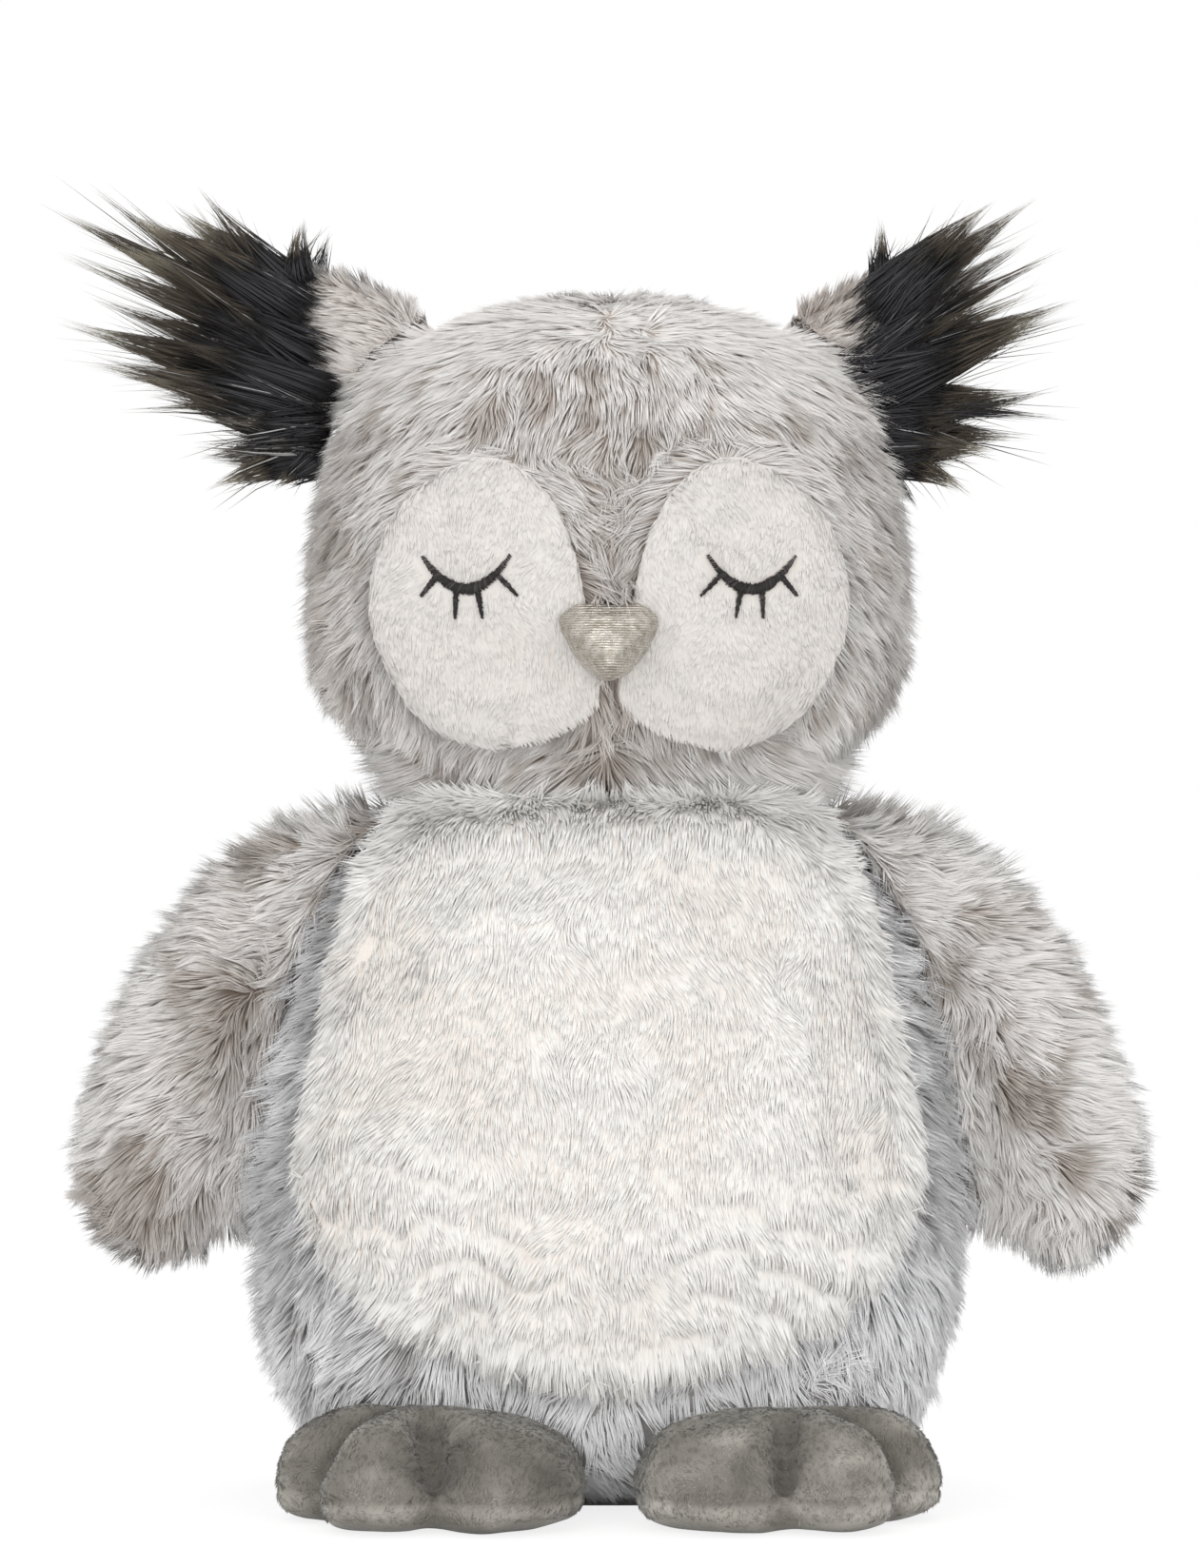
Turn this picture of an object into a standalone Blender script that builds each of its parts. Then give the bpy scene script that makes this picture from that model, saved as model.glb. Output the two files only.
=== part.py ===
"""Standing plush owl in long grey fur, built the way such a toy is sewn.

The toy stands on Z = 0 and faces -Y. Its own left side is at +X. Each fur skin is a shell as thick as
its cloth and pile, wrapped round its filling and open where it is sewn to its neighbour. All lengths
are metres.
"""

import math

import bmesh
import bpy
from mathutils import Matrix, Vector

SIDES = {"left": 1, "right": -1}

# What every piece keeps to the next one, and how far cutters and hidden roots reach past a surface.
GAP = 0.0003
OVERRUN = 0.012
# How far a stuffing stays inside its cloth.
SLACK = 0.0015
# Points nearer than this are one point.
WELD = 0.00001

# Body: a pear that swells low down and draws in to the neck.
BODY_HALF_WIDTH = 0.104
BODY_FRONT_DEPTH = 0.080
BODY_BACK_DEPTH = 0.076
NECK_HEIGHT = 0.204
NECK_HALF_WIDTH = 0.050
NECK_FRONT_DEPTH = 0.040
NECK_BACK_DEPTH = 0.041
BODY_PILE = 0.008
BODY_CORNER_POWER = 2.25
# Height, half width, front depth and back depth, from the rim of the base to just under the neck.
BODY_ROW_SHARES = (
    (0.000, 0.635, 0.620, 0.600),
    (0.020, 0.760, 0.770, 0.750),
    (0.069, 0.857, 0.880, 0.860),
    (0.147, 0.938, 0.955, 0.940),
    (0.255, 1.000, 1.000, 1.000),
    (0.431, 0.995, 0.990, 0.995),
    (0.637, 0.923, 0.930, 0.950),
    (0.784, 0.841, 0.850, 0.870),
    (0.902, 0.721, 0.740, 0.760),
    (0.970, 0.596, 0.620, 0.660),
)

# Base: the panel that closes the body underneath, and the bag of pellets that lies on it.
BASE_THICKNESS = 0.003
PELLET_BAG_HEIGHT = 0.026
PELLET_BAG_SLACK = 0.006
# Height and width of the pellet bag, from its underside to its top.
PELLET_ROW_SHARES = ((0.0, 0.80), (0.22, 0.95), (0.55, 1.0), (0.85, 0.90), (1.0, 0.70))

# Head: wider than the shoulders, flat underneath, with a seam drawn in over the forehead.
HEAD_HEIGHT = 0.1465
HEAD_HALF_WIDTH = 0.0886
HEAD_FRONT_DEPTH = 0.074
HEAD_BACK_DEPTH = 0.070
HEAD_SEAM_DIP = 0.0025
# Where the seam starts going up the head, and how much of the rest it takes to reach its full depth.
HEAD_SEAM_START_SHARE = 0.45
HEAD_SEAM_DEEPEN_SHARE = 0.5
# Height, half width, front depth and back depth, from just above the neck to the crown.
HEAD_ROW_SHARES = (
    (0.005, 0.640, 0.640, 0.660),
    (0.030, 0.730, 0.750, 0.760),
    (0.070, 0.800, 0.830, 0.830),
    (0.115, 0.875, 0.885, 0.885),
    (0.165, 0.945, 0.940, 0.930),
    (0.245, 0.990, 0.985, 0.975),
    (0.350, 1.000, 1.000, 1.000),
    (0.500, 0.987, 0.985, 0.990),
    (0.615, 0.955, 0.945, 0.960),
    (0.745, 0.895, 0.870, 0.900),
    (0.845, 0.775, 0.750, 0.790),
    (0.905, 0.630, 0.610, 0.660),
    (0.955, 0.470, 0.455, 0.500),
    (0.990, 0.250, 0.250, 0.270),
    (1.000, 0.000, 0.000, 0.000),
)

# Patches: how far out from the middle, and how much of the thickness, from the crown to the edge.
PATCH_PAD_SHARES = ((0, 1), (0.35, 1), (0.65, 0.99), (0.87, 0.93), (0.97, 0.70), (1, 0.35))
# How far out the hidden root of a patch goes, from its edge back to its middle.
PATCH_ROOT_SHARES = (0.98, 0.6, 0)
PATCH_ROOT_DEPTH = BODY_PILE / 2

# Belly panel: thicker cream plush over the front of the body.
BELLY_SIDE_INSET = 0.017
BELLY_HALF_WIDTH = BODY_HALF_WIDTH - BELLY_SIDE_INSET
BELLY_TOP_BELOW_NECK = 0.004
BELLY_TOP_HEIGHT = NECK_HEIGHT - BELLY_TOP_BELOW_NECK
BELLY_BOTTOM_HEIGHT = 0.039
BELLY_THICKNESS = 0.005
# Half outline from the top middle to the bottom middle: sideways, and upwards from the lower edge.
BELLY_OUTLINE_SHARES = (
    (0.00, 1.00),
    (0.38, 1.00),
    (0.66, 0.985),
    (0.84, 0.80),
    (0.95, 0.52),
    (1.00, 0.37),
    (0.91, 0.23),
    (0.69, 0.11),
    (0.34, 0.04),
    (0.00, 0.00),
)

# Eye patches: eggs of short plush that nearly meet under the beak.
EYE_PATCH_CENTRE = 0.0345
EYE_PATCH_HEIGHT_ABOVE_NECK = 0.052
EYE_PATCH_HALF_WIDTH = 0.0335
EYE_PATCH_HALF_HEIGHT = 0.041
EYE_PATCH_THICKNESS = 0.0025
# Whole outline of a patch: towards the beak, and upwards, from its centre.
EYE_PATCH_OUTLINE_SHARES = (
    (-0.05, 1.00),
    (0.45, 0.82),
    (0.74, 0.38),
    (0.86, -0.05),
    (0.97, -0.50),
    (0.90, -0.76),
    (0.45, -0.96),
    (-0.05, -1.00),
    (-0.60, -0.78),
    (-0.94, -0.27),
    (-0.97, 0.20),
    (-0.70, 0.70),
)

# Closed eyes: satin stitch, an arc that hangs between its two ends, and four lashes.
STITCH_CENTRE = 0.0400
STITCH_HEIGHT_ABOVE_NECK = 0.0645
STITCH_HALF_WIDTH = 0.0123
STITCH_SAG = 0.0105
STITCH_WIDTH = 0.0026
LASH_WIDTH = 0.0018
STITCH_HEIGHT = 0.0012
LASH_LENGTH = 0.0075
# How much narrower the arc is at its ends.
STITCH_TAPER_SHARE = 0.5
# Where a lash starts along the arc, from its outer end at -1, and how far it leans outwards.
LASH_SHARES = ((-0.70, 0.55), (-0.26, 0.05), (0.16, -0.20), (0.58, -0.62))
# Distance along a lash, and its width there.
LASH_ROW_SHARES = ((0, 1), (0.5, 1), (1, 0.5))

# Beak: a stuffed rounded triangle of metallic cloth that droops to its tip.
BEAK_HALF_WIDTH = 0.0145
BEAK_RISE = 0.0095
BEAK_FALL = 0.0150
BEAK_LENGTH = 0.023
BEAK_HEIGHT_ABOVE_NECK = 0.0440
BEAK_DROOP = 0.0085
BEAK_CLOTH = 0.0012
# How much wider the beak's section is at its top than at half height, and how much its flanks are drawn in.
BEAK_TOP_WIDENING_SHARE = 0.35
BEAK_FLANK_SHARE = 0.12
# Distance out along the beak, and the size of the section there.
BEAK_ROW_SHARES = (
    (0.00, 1.00),
    (0.25, 0.99),
    (0.50, 0.90),
    (0.72, 0.72),
    (0.88, 0.49),
    (0.97, 0.25),
    (1.00, 0.00),
)

# Ears: flat grey flaps at the upper corners of the head.
EAR_ROOT_INSIDE_HEAD = 0.0286
EAR_ROOT_SIDE = HEAD_HALF_WIDTH - EAR_ROOT_INSIDE_HEAD
EAR_ROOT_BELOW_CROWN = 0.0275
EAR_ROOT_HEIGHT = NECK_HEIGHT + HEAD_HEIGHT - EAR_ROOT_BELOW_CROWN
EAR_REACH = 0.031
EAR_RISE = 0.030
EAR_HALF_WIDTH = 0.0190
EAR_HALF_THICKNESS = 0.0090
# Sideways, upwards, half width and half thickness along an ear.
EAR_ROW_SHARES = (
    (-0.25, -0.25, 0.00, 0.00),
    (-0.15, -0.15, 0.75, 0.80),
    (0.08, 0.08, 1.00, 1.00),
    (0.35, 0.35, 0.92, 0.96),
    (0.60, 0.62, 0.70, 0.80),
    (0.82, 0.84, 0.42, 0.55),
    (0.95, 0.96, 0.18, 0.28),
    (1.00, 1.00, 0.00, 0.00),
)

# Ear tufts: locks of long dark fur that fan out of each ear. The fan on the toy's right is longer.
TUFT_ROOT_BEYOND_EAR_ROOT = 0.019
TUFT_ROOT_SIDE = EAR_ROOT_SIDE + TUFT_ROOT_BEYOND_EAR_ROOT
TUFT_ROOT_TOP_ABOVE_EAR_ROOT = 0.017
TUFT_ROOT_BOTTOM_BELOW_EAR_ROOT = 0.019
TUFT_LOCK_RADIUS = 0.0085
TUFT_LOCK_STAGGER = 0.0045
TUFT_LOCK_BEND = 0.002
TUFT_LOCKS = 9
TUFT_TOP_LENGTHS = {"left": 0.050, "right": 0.084}
TUFT_BOTTOM_LENGTHS = {"left": 0.040, "right": 0.044}
TUFT_TOP_ANGLES = {"left": math.radians(42), "right": math.radians(21)}
TUFT_BOTTOM_ANGLES = {"left": math.radians(-32), "right": math.radians(-24)}
TUFT_ROW_SHARES = ((0.0, 0.80), (0.18, 1.0), (0.50, 0.82), (0.80, 0.42), (1.0, 0.0))
TUFT_LENGTH_WAVE_SHARE = 0.07

# Wings: long flat mitts that hang from the shoulder seams.
WING_ROOT_BEYOND_NECK = 0.006
WING_ROOT_SIDE = NECK_HALF_WIDTH + WING_ROOT_BEYOND_NECK
WING_ROOT_BELOW_NECK = 0.005
WING_ROOT_HEIGHT = NECK_HEIGHT - WING_ROOT_BELOW_NECK
WING_REACH = 0.078
WING_DROP = 0.1345
WING_HALF_WIDTH = 0.029
WING_HALF_THICKNESS = 0.020
WING_PILE_SHARE = 0.30
# Where the lower part of a wing starts, and how much of the pile's share its length is drawn in by inside.
WING_TIP_START_SHARE = 0.5
WING_TIP_SHRINK_SHARE = 0.5
# Outwards, downwards, half width and half thickness along a wing.
WING_ROW_SHARES = (
    (0.000, 0.000, 0.00, 0.00),
    (0.060, 0.022, 0.20, 0.36),
    (0.170, 0.062, 0.40, 0.62),
    (0.360, 0.135, 0.61, 0.83),
    (0.570, 0.240, 0.74, 0.95),
    (0.715, 0.380, 0.86, 1.00),
    (0.825, 0.560, 0.95, 1.00),
    (0.915, 0.730, 1.00, 0.95),
    (0.970, 0.865, 0.86, 0.82),
    (0.993, 0.955, 0.52, 0.55),
    (0.999, 0.990, 0.24, 0.28),
    (1.000, 1.000, 0.00, 0.00),
)
# The hollow's root, which runs out through the root of the skin inside the body.
WING_HOLLOW_ROOT_SHARES = ((-0.220, -0.080, 0.00, 0.00), (-0.180, -0.066, 0.24, 0.36))
# The hinge lies where the top of the wing meets the side of the body.
WING_HINGE_BELOW_NECK = 0.0038
WING_HINGE_HEIGHT = NECK_HEIGHT - WING_HINGE_BELOW_NECK

# Feet: three stuffed toes of short velour on a sole, turned outwards.
FOOT_SIDE = 0.0500
FOOT_BEHIND_BODY_FRONT = 0.015
FOOT_FORWARD = BODY_FRONT_DEPTH - FOOT_BEHIND_BODY_FRONT
FOOT_LENGTH = 0.0485
FOOT_HEEL_LENGTH = 0.030
FOOT_HEIGHT = 0.033
FOOT_SEAM_HEIGHT = 0.010
FOOT_CLOTH = 0.002
# The filling keeps more room than elsewhere, because the creases thin the cloth beside them.
FOOT_SLACK = 0.003
FOOT_TURN = math.radians(27)
# A foot is longer towards its inner toe and shorter towards its outer toe.
FOOT_SLANT_SHARE = 0.10
TOE_CREASE_ANGLE = math.radians(30)
TOE_CREASE_SPREAD = math.radians(12)
TOE_NOTCH_SHARE = 0.23
TOE_CREASE_SHARE = 0.55
TOE_CREASE_START_SHARE = 0.22
TOE_CREASE_RISE_SHARE = 0.5
# How much of the turn from the heel to the toes it takes to reach the full length.
FOOT_WIDENING_SHARE = 0.625
# Outwards from the middle of a foot, and upwards from its seam to its top.
FOOT_TOP_SHARES = (
    (0.00, 1.00),
    (0.26, 0.99),
    (0.48, 0.95),
    (0.66, 0.87),
    (0.80, 0.74),
    (0.91, 0.52),
    (0.98, 0.24),
    (1.00, 0.00),
)
# Outwards from the middle of a foot, and downwards from its seam to the floor.
FOOT_SOLE_SHARES = ((0.975, 0.42), (0.91, 0.80), (0.80, 1.00), (0.00, 1.00))

# Points round a section and stations along a form.
ROUND_BODY = 36
ROUND_WING = 20
ROUND_FOOT = 36
ROUND_SMALL = 12
ROUND_LOCK = 6
ROUND_THREAD = 6
BODY_INNER_STATIONS = 9
HEAD_INNER_STATIONS = 12
BELLY_POINTS = 36
EYE_PATCH_POINTS = 28
ARC_STATIONS = 12
# How closely a place in a table is looked up, in rows.
PLACE_TOLERANCE = 1 / 4096
SHARP_ANGLE = math.radians(40)

# Linear colour, roughness and metallic.
FINISHES = {
    "grey_fur": ((0.46, 0.44, 0.42), 0.95, 0.0),
    "cream_plush": ((0.77, 0.75, 0.71), 0.95, 0.0),
    "short_plush": ((0.72, 0.69, 0.65), 0.90, 0.0),
    "velour": ((0.21, 0.20, 0.18), 0.80, 0.0),
    "sole_cloth": ((0.28, 0.27, 0.25), 0.80, 0.0),
    "stitch_thread": ((0.02, 0.02, 0.02), 0.50, 0.0),
    "dark_fur": ((0.035, 0.032, 0.032), 0.70, 0.0),
    "metallic_cloth": ((0.52, 0.46, 0.38), 0.35, 0.8),
    "fibre": ((0.85, 0.85, 0.84), 1.00, 0.0),
    "pellet_cloth": ((0.62, 0.60, 0.55), 0.90, 0.0),
}


# Tables and curves

def row_between(rows, place):
    """A row of a table at a place between its rows, on the smooth curve through them."""
    last = len(rows) - 1
    i = min(int(place), last - 1)
    t = place - i
    p0, p1, p2, p3 = (rows[min(max(k, 0), last)] for k in (i - 1, i, i + 1, i + 2))
    return [
        b + ((c - a) * t + (2 * a - 5 * b + 4 * c - d) * t**2 + (3 * b - a - 3 * c + d) * t**3) / 2
        for a, b, c, d in zip(p0, p1, p2, p3)
    ]


def rows_sampled(rows, count):
    """The same table with another number of rows."""
    return [row_between(rows, (len(rows) - 1) * k / (count - 1)) for k in range(count)]


def row_at_height(rows, height):
    """The row whose first value is the given height, found by halving."""
    low, high = 0.0, float(len(rows) - 1)
    while high - low > PLACE_TOLERANCE:
        middle = (low + high) / 2
        if row_between(rows, middle)[0] < height:
            low = middle
        else:
            high = middle
    return row_between(rows, (low + high) / 2)


def body_rows():
    """Heights, half widths and depths of the body, from the floor to the neck."""
    rows = [
        (h * NECK_HEIGHT, w * BODY_HALF_WIDTH, f * BODY_FRONT_DEPTH, b * BODY_BACK_DEPTH)
        for h, w, f, b in BODY_ROW_SHARES
    ]
    return rows + [(NECK_HEIGHT, NECK_HALF_WIDTH, NECK_FRONT_DEPTH, NECK_BACK_DEPTH)]


def head_rows():
    """Heights, half widths and depths of the head, from the neck to the crown."""
    foot = NECK_HEIGHT + GAP
    rows = [
        (foot + h * HEAD_HEIGHT, w * HEAD_HALF_WIDTH, f * HEAD_FRONT_DEPTH, b * HEAD_BACK_DEPTH)
        for h, w, f, b in HEAD_ROW_SHARES
    ]
    return [(foot, NECK_HALF_WIDTH, NECK_FRONT_DEPTH, NECK_BACK_DEPTH)] + rows


# Rings: lists of points round a form, which a loft joins

def power(value, exponent):
    return math.copysign(abs(value) ** exponent, value)


def turns(count):
    """Angles spread evenly round a full turn."""
    return [2 * math.pi * k / count for k in range(count)]


def oval_ring(row, seam_dip=0.0):
    """A level section of the body or head, a little squarer than an ellipse."""
    height, half_width, front, back = row
    points = []
    for angle in turns(ROUND_BODY):
        across, along = math.cos(angle), math.sin(angle)
        x = half_width * power(across, 2 / BODY_CORNER_POWER)
        y = (back if along > 0 else front) * power(along, 2 / BODY_CORNER_POWER)
        if abs(x) < GAP and abs(y) > seam_dip:
            y -= math.copysign(seam_dip, y)
        points.append(Vector((x, y, height)))
    return points


def middle_of(ring):
    return sum(ring, Vector()) / len(ring)


def surface_normals(rings):
    """Outward direction at every point of the rings, from the points next to it."""
    normals = []
    for i, ring in enumerate(rings):
        before, after = rings[max(i - 1, 0)], rings[min(i + 1, len(rings) - 1)]
        row = []
        for k in range(len(ring)):
            around = ring[(k + 1) % len(ring)] - ring[k - 1]
            along = after[k] - before[k]
            row.append(around.cross(along))
        if sum(v.length for v in row) < GAP**2:
            step = middle_of(after) - middle_of(before)
            row = [step if i else -step] * len(ring)
        normals.append([v.normalized() for v in row])
    return normals


def rings_moved(rings, distance):
    """The rings moved along their own normals, outwards for a positive distance."""
    moved = []
    for ring, normals in zip(rings, surface_normals(rings)):
        moved.append([p + n * distance for p, n in zip(ring, normals)])
    return moved


def rings_levelled(rings, height):
    """Keeps every point of the rings at or above a height."""
    return [[Vector((p.x, p.y, max(p.z, height))) for p in ring] for ring in rings]


def limb_rings(rows, count):
    """Sections across a bent centreline that lies in the XZ plane. A row holds x, z and half sizes."""
    rings = []
    for i, (x, z, half_width, half_thickness) in enumerate(rows):
        before, after = rows[max(i - 1, 0)], rows[min(i + 1, len(rows) - 1)]
        way = Vector((after[0] - before[0], 0, after[1] - before[1])).normalized()
        side = way.cross(Vector((0, 1, 0)))
        centre = Vector((x, 0, z))
        rings.append([
            centre + side * half_width * math.cos(a) + Vector((0, half_thickness * math.sin(a), 0))
            for a in turns(count)
        ])
    return rings


# Meshes

def new_object(name, bm, origin=Vector()):
    """A smooth-shaded object from a bmesh in world places, with its origin where it is asked for."""
    bmesh.ops.recalc_face_normals(bm, faces=bm.faces)
    bmesh.ops.translate(bm, verts=bm.verts, vec=-origin)
    mesh = bpy.data.meshes.new(name)
    bm.to_mesh(mesh)
    bm.free()
    mesh.shade_smooth()
    mesh.set_sharp_from_angle(angle=SHARP_ANGLE)
    obj = bpy.data.objects.new(name, mesh)
    obj.location = origin
    bpy.context.scene.collection.objects.link(obj)
    return obj


def loft(rings, closed=False):
    """A bmesh through the rings, each extruded from the one before. A ring without size is a pole.

    The ends are capped, unless closed is set: then the last ring is joined to the first.
    """
    bm = bmesh.new()
    around = bm.verts.layers.int.new("around")
    verts = [bm.verts.new(p) for p in rings[0]]
    for k, vert in enumerate(verts):
        vert[around] = k
    edges = [bm.edges.new((verts[k - 1], verts[k])) for k in range(len(verts))]
    first = list(edges)
    for ring in rings[1:]:
        made = bmesh.ops.extrude_edge_only(bm, edges=edges)["geom"]
        fresh = {g for g in made if isinstance(g, bmesh.types.BMVert)}
        for vert in fresh:
            vert.co = ring[vert[around]]
        edges = [g for g in made if isinstance(g, bmesh.types.BMEdge) and fresh.issuperset(g.verts)]
    if closed:
        bmesh.ops.bridge_loops(bm, edges=first + edges)
    else:
        for end in (first, edges):
            bmesh.ops.edgeloop_fill(bm, edges=end)
    bmesh.ops.remove_doubles(bm, verts=bm.verts, dist=WELD)
    bmesh.ops.dissolve_degenerate(bm, edges=bm.edges, dist=WELD)
    return bm


def hide_tool(obj):
    """Keeps a cutter out of the model."""
    obj.hide_render = True
    obj.display_type = "WIRE"
    return obj


def grown_copy(obj, distance):
    """A hidden copy of an object with its surface moved outwards, for cutting its seat elsewhere."""
    bm = bmesh.new()
    bm.from_mesh(obj.data)
    bmesh.ops.transform(bm, matrix=Matrix.Translation(obj.location), verts=bm.verts)
    bm.normal_update()
    for vert in bm.verts:
        vert.co += vert.normal * distance
    return hide_tool(new_object(obj.name + "_cutter", bm))


def boolean(obj, other, operation="DIFFERENCE"):
    """Cuts another object from this one, or joins it to this one."""
    modifier = obj.modifiers.new(operation.lower() + "_" + other.name, "BOOLEAN")
    modifier.operation = operation
    modifier.object = other
    modifier.solver = "EXACT"
    return obj


def mirrored(rings, side):
    """Rings for the side of the toy: as they are on its left, mirrored on its right."""
    return [[Vector((side * p.x, p.y, p.z)) for p in ring] for ring in rings]


def finish(obj, name):
    """Gives a piece its own material with one of the finishes."""
    colour, roughness, metallic = FINISHES[name]
    material = bpy.data.materials.new(obj.name)
    material.use_nodes = True
    shader = material.node_tree.nodes["Principled BSDF"]
    shader.inputs["Base Color"].default_value = (*colour, 1.0)
    shader.inputs["Roughness"].default_value = roughness
    shader.inputs["Metallic"].default_value = metallic
    obj.data.materials.append(material)
    return obj


# Body and base

def body_shape_rings():
    return [oval_ring(row) for row in body_rows()]


def lining_rows(clearance):
    """The hollow of the body's skin from the floor to the neck, drawn in by a clearance."""
    inset = BODY_PILE + clearance
    rows = rows_sampled(body_rows(), BODY_INNER_STATIONS)
    return [(height, width - inset, front - inset, back - inset) for height, width, front, back in rows]


def lining_row(height, clearance):
    """The hollow of the body at one height, straight between its stations."""
    rows = lining_rows(clearance)
    for low, high in zip(rows, rows[1:]):
        if low[0] <= height <= high[0]:
            share = (height - low[0]) / (high[0] - low[0])
            return [a + (b - a) * share for a, b in zip(low, high)]
    return rows[-1]


def make_body():
    lining = [oval_ring(row) for row in lining_rows(0.0)]
    skin = new_object("body_skin", loft(body_shape_rings() + lining[::-1], closed=True))
    finish(skin, "grey_fur")

    rim = lining_row(0.0, GAP)[1:]
    base_rings = [oval_ring([height, *rim]) for height in (0.0, BASE_THICKNESS)]
    finish(new_object("base_panel", loft(base_rings)), "grey_fur")

    bag_foot = BASE_THICKNESS + GAP
    bag_rings = []
    for height_share, width_share in PELLET_ROW_SHARES:
        height = bag_foot + height_share * PELLET_BAG_HEIGHT
        hollow = lining_row(bag_foot, PELLET_BAG_SLACK)[1:]
        bag_rings.append(oval_ring([height] + [size * width_share for size in hollow]))
    finish(new_object("pellet_bag", loft(bag_rings)), "pellet_cloth")

    filling_foot = bag_foot + PELLET_BAG_HEIGHT + GAP
    filling_rows = [lining_row(filling_foot, GAP)]
    filling_rows += [row for row in lining_rows(GAP) if row[0] > filling_foot + GAP]
    finish(new_object("body_filling", loft([oval_ring(row) for row in filling_rows])), "fibre")


# Head

def head_shape_rings():
    """The head with its seam drawn in, deepest over the crown."""
    rings = []
    for row in head_rows():
        up = (row[0] - NECK_HEIGHT) / HEAD_HEIGHT
        dip_share = max(up - HEAD_SEAM_START_SHARE, 0) / (1 - HEAD_SEAM_START_SHARE)
        rings.append(oval_ring(row, HEAD_SEAM_DIP * min(dip_share / HEAD_SEAM_DEEPEN_SHARE, 1.0)))
    return rings


def head_inside_rings(inset):
    """The head drawn in by a wall, cut level at the neck."""
    plain = [oval_ring(row) for row in rows_sampled(head_rows(), HEAD_INNER_STATIONS)]
    rings = rings_levelled(rings_moved(plain, -inset), NECK_HEIGHT + GAP)
    neck_inset = (
        NECK_HEIGHT + GAP, NECK_HALF_WIDTH - inset, NECK_FRONT_DEPTH - inset, NECK_BACK_DEPTH - inset
    )
    rings[0] = oval_ring(neck_inset)
    return rings


def make_head():
    rings = head_shape_rings() + head_inside_rings(BODY_PILE)[::-1]
    finish(new_object("head_skin", loft(rings, closed=True)), "grey_fur")
    finish(new_object("head_filling", loft(head_inside_rings(BODY_PILE + SLACK))), "fibre")


# Patches sewn over the front of a form

def front_point(rows, x, z, lift):
    """A point over the front of a form, lifted off it along its normal."""
    def depth(px, pz):
        _, half_width, front, _ = row_at_height(rows, pz)
        flat = max(1 - abs(px / half_width) ** BODY_CORNER_POWER, 0)
        return -front * flat ** (1 / BODY_CORNER_POWER)

    step = GAP
    here = depth(x, z)
    slope_x = (depth(x + step, z) - depth(x - step, z)) / (2 * step)
    slope_z = (depth(x, z + step) - depth(x, z - step)) / (2 * step)
    return Vector((x, here, z)) + Vector((slope_x, -1, slope_z)).normalized() * lift


def patch_rings(rows, outline, centre, thickness):
    """A pad over a form: crowned in front, rounded at its edge, its root hidden in the form."""
    rings = []
    for out_share, lift_share in PATCH_PAD_SHARES:
        points = [centre + (p - centre) * out_share for p in outline]
        rings.append([front_point(rows, p.x, p.y, thickness * lift_share) for p in points])
    for out_share in PATCH_ROOT_SHARES:
        points = [centre + (p - centre) * out_share for p in outline]
        rings.append([front_point(rows, p.x, p.y, -PATCH_ROOT_DEPTH) for p in points])
    return rings


def outline_sampled(points, count):
    """Points spread along a closed smooth outline."""
    wrapped = [points[-1], *points, points[0], points[1]]
    places = [1 + len(points) * k / count for k in range(count)]
    return [Vector(row_between([tuple(p) for p in wrapped], place)) for place in places]


def belly_outline():
    tall = BELLY_TOP_HEIGHT - BELLY_BOTTOM_HEIGHT
    half = [
        Vector((x * BELLY_HALF_WIDTH, BELLY_BOTTOM_HEIGHT + z * tall)) for x, z in BELLY_OUTLINE_SHARES
    ]
    other = [Vector((-p.x, p.y)) for p in half[-2:0:-1]]
    return outline_sampled(half + other, BELLY_POINTS)


def eye_patch_outline(side):
    """Outline of one eye patch in x and z."""
    middle = NECK_HEIGHT + EYE_PATCH_HEIGHT_ABOVE_NECK
    return outline_sampled([
        Vector((side * (EYE_PATCH_CENTRE - u * EYE_PATCH_HALF_WIDTH), middle + v * EYE_PATCH_HALF_HEIGHT))
        for u, v in EYE_PATCH_OUTLINE_SHARES
    ], EYE_PATCH_POINTS)


def make_belly(body_cutter):
    outline = belly_outline()
    centre = Vector((0, (BELLY_TOP_HEIGHT + BELLY_BOTTOM_HEIGHT) / 2))
    rings = patch_rings(body_rows(), outline, centre, BELLY_THICKNESS)
    panel = new_object("belly_panel", loft(rings))
    finish(boolean(panel, body_cutter), "cream_plush")
    return panel


def make_eye_patch(name, side, head_cutter):
    outline = eye_patch_outline(side)
    centre = Vector((side * EYE_PATCH_CENTRE, NECK_HEIGHT + EYE_PATCH_HEIGHT_ABOVE_NECK))
    rings = patch_rings(head_rows(), outline, centre, EYE_PATCH_THICKNESS)
    patch = new_object("eye_patch_" + name, loft(rings))
    finish(boolean(patch, head_cutter), "short_plush")
    return patch


# Stitched closed eyes

def stitch_place(side, along):
    """A point of the arc in x and z, from its outer end at -1 to its inner end at 1."""
    x = side * (STITCH_CENTRE - along * STITCH_HALF_WIDTH)
    z = NECK_HEIGHT + STITCH_HEIGHT_ABOVE_NECK - STITCH_SAG * (1 - along**2)
    return Vector((x, z))


def thread_rings(path, widths):
    """A flat satin stitch along points in x and z, half sunk in the patch under it."""
    rows = head_rows()
    centres = [front_point(rows, p.x, p.y, EYE_PATCH_THICKNESS) for p in path]
    tops = [front_point(rows, p.x, p.y, EYE_PATCH_THICKNESS + STITCH_HEIGHT) for p in path]
    rings = []
    for i, (centre, top, width) in enumerate(zip(centres, tops, widths)):
        way = centres[min(i + 1, len(path) - 1)] - centres[max(i - 1, 0)]
        lift = top - centre
        across = way.cross(lift).normalized() * width / 2
        rings.append([centre + across * math.cos(a) + lift * math.sin(a) for a in turns(ROUND_THREAD)])
    return rings


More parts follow.
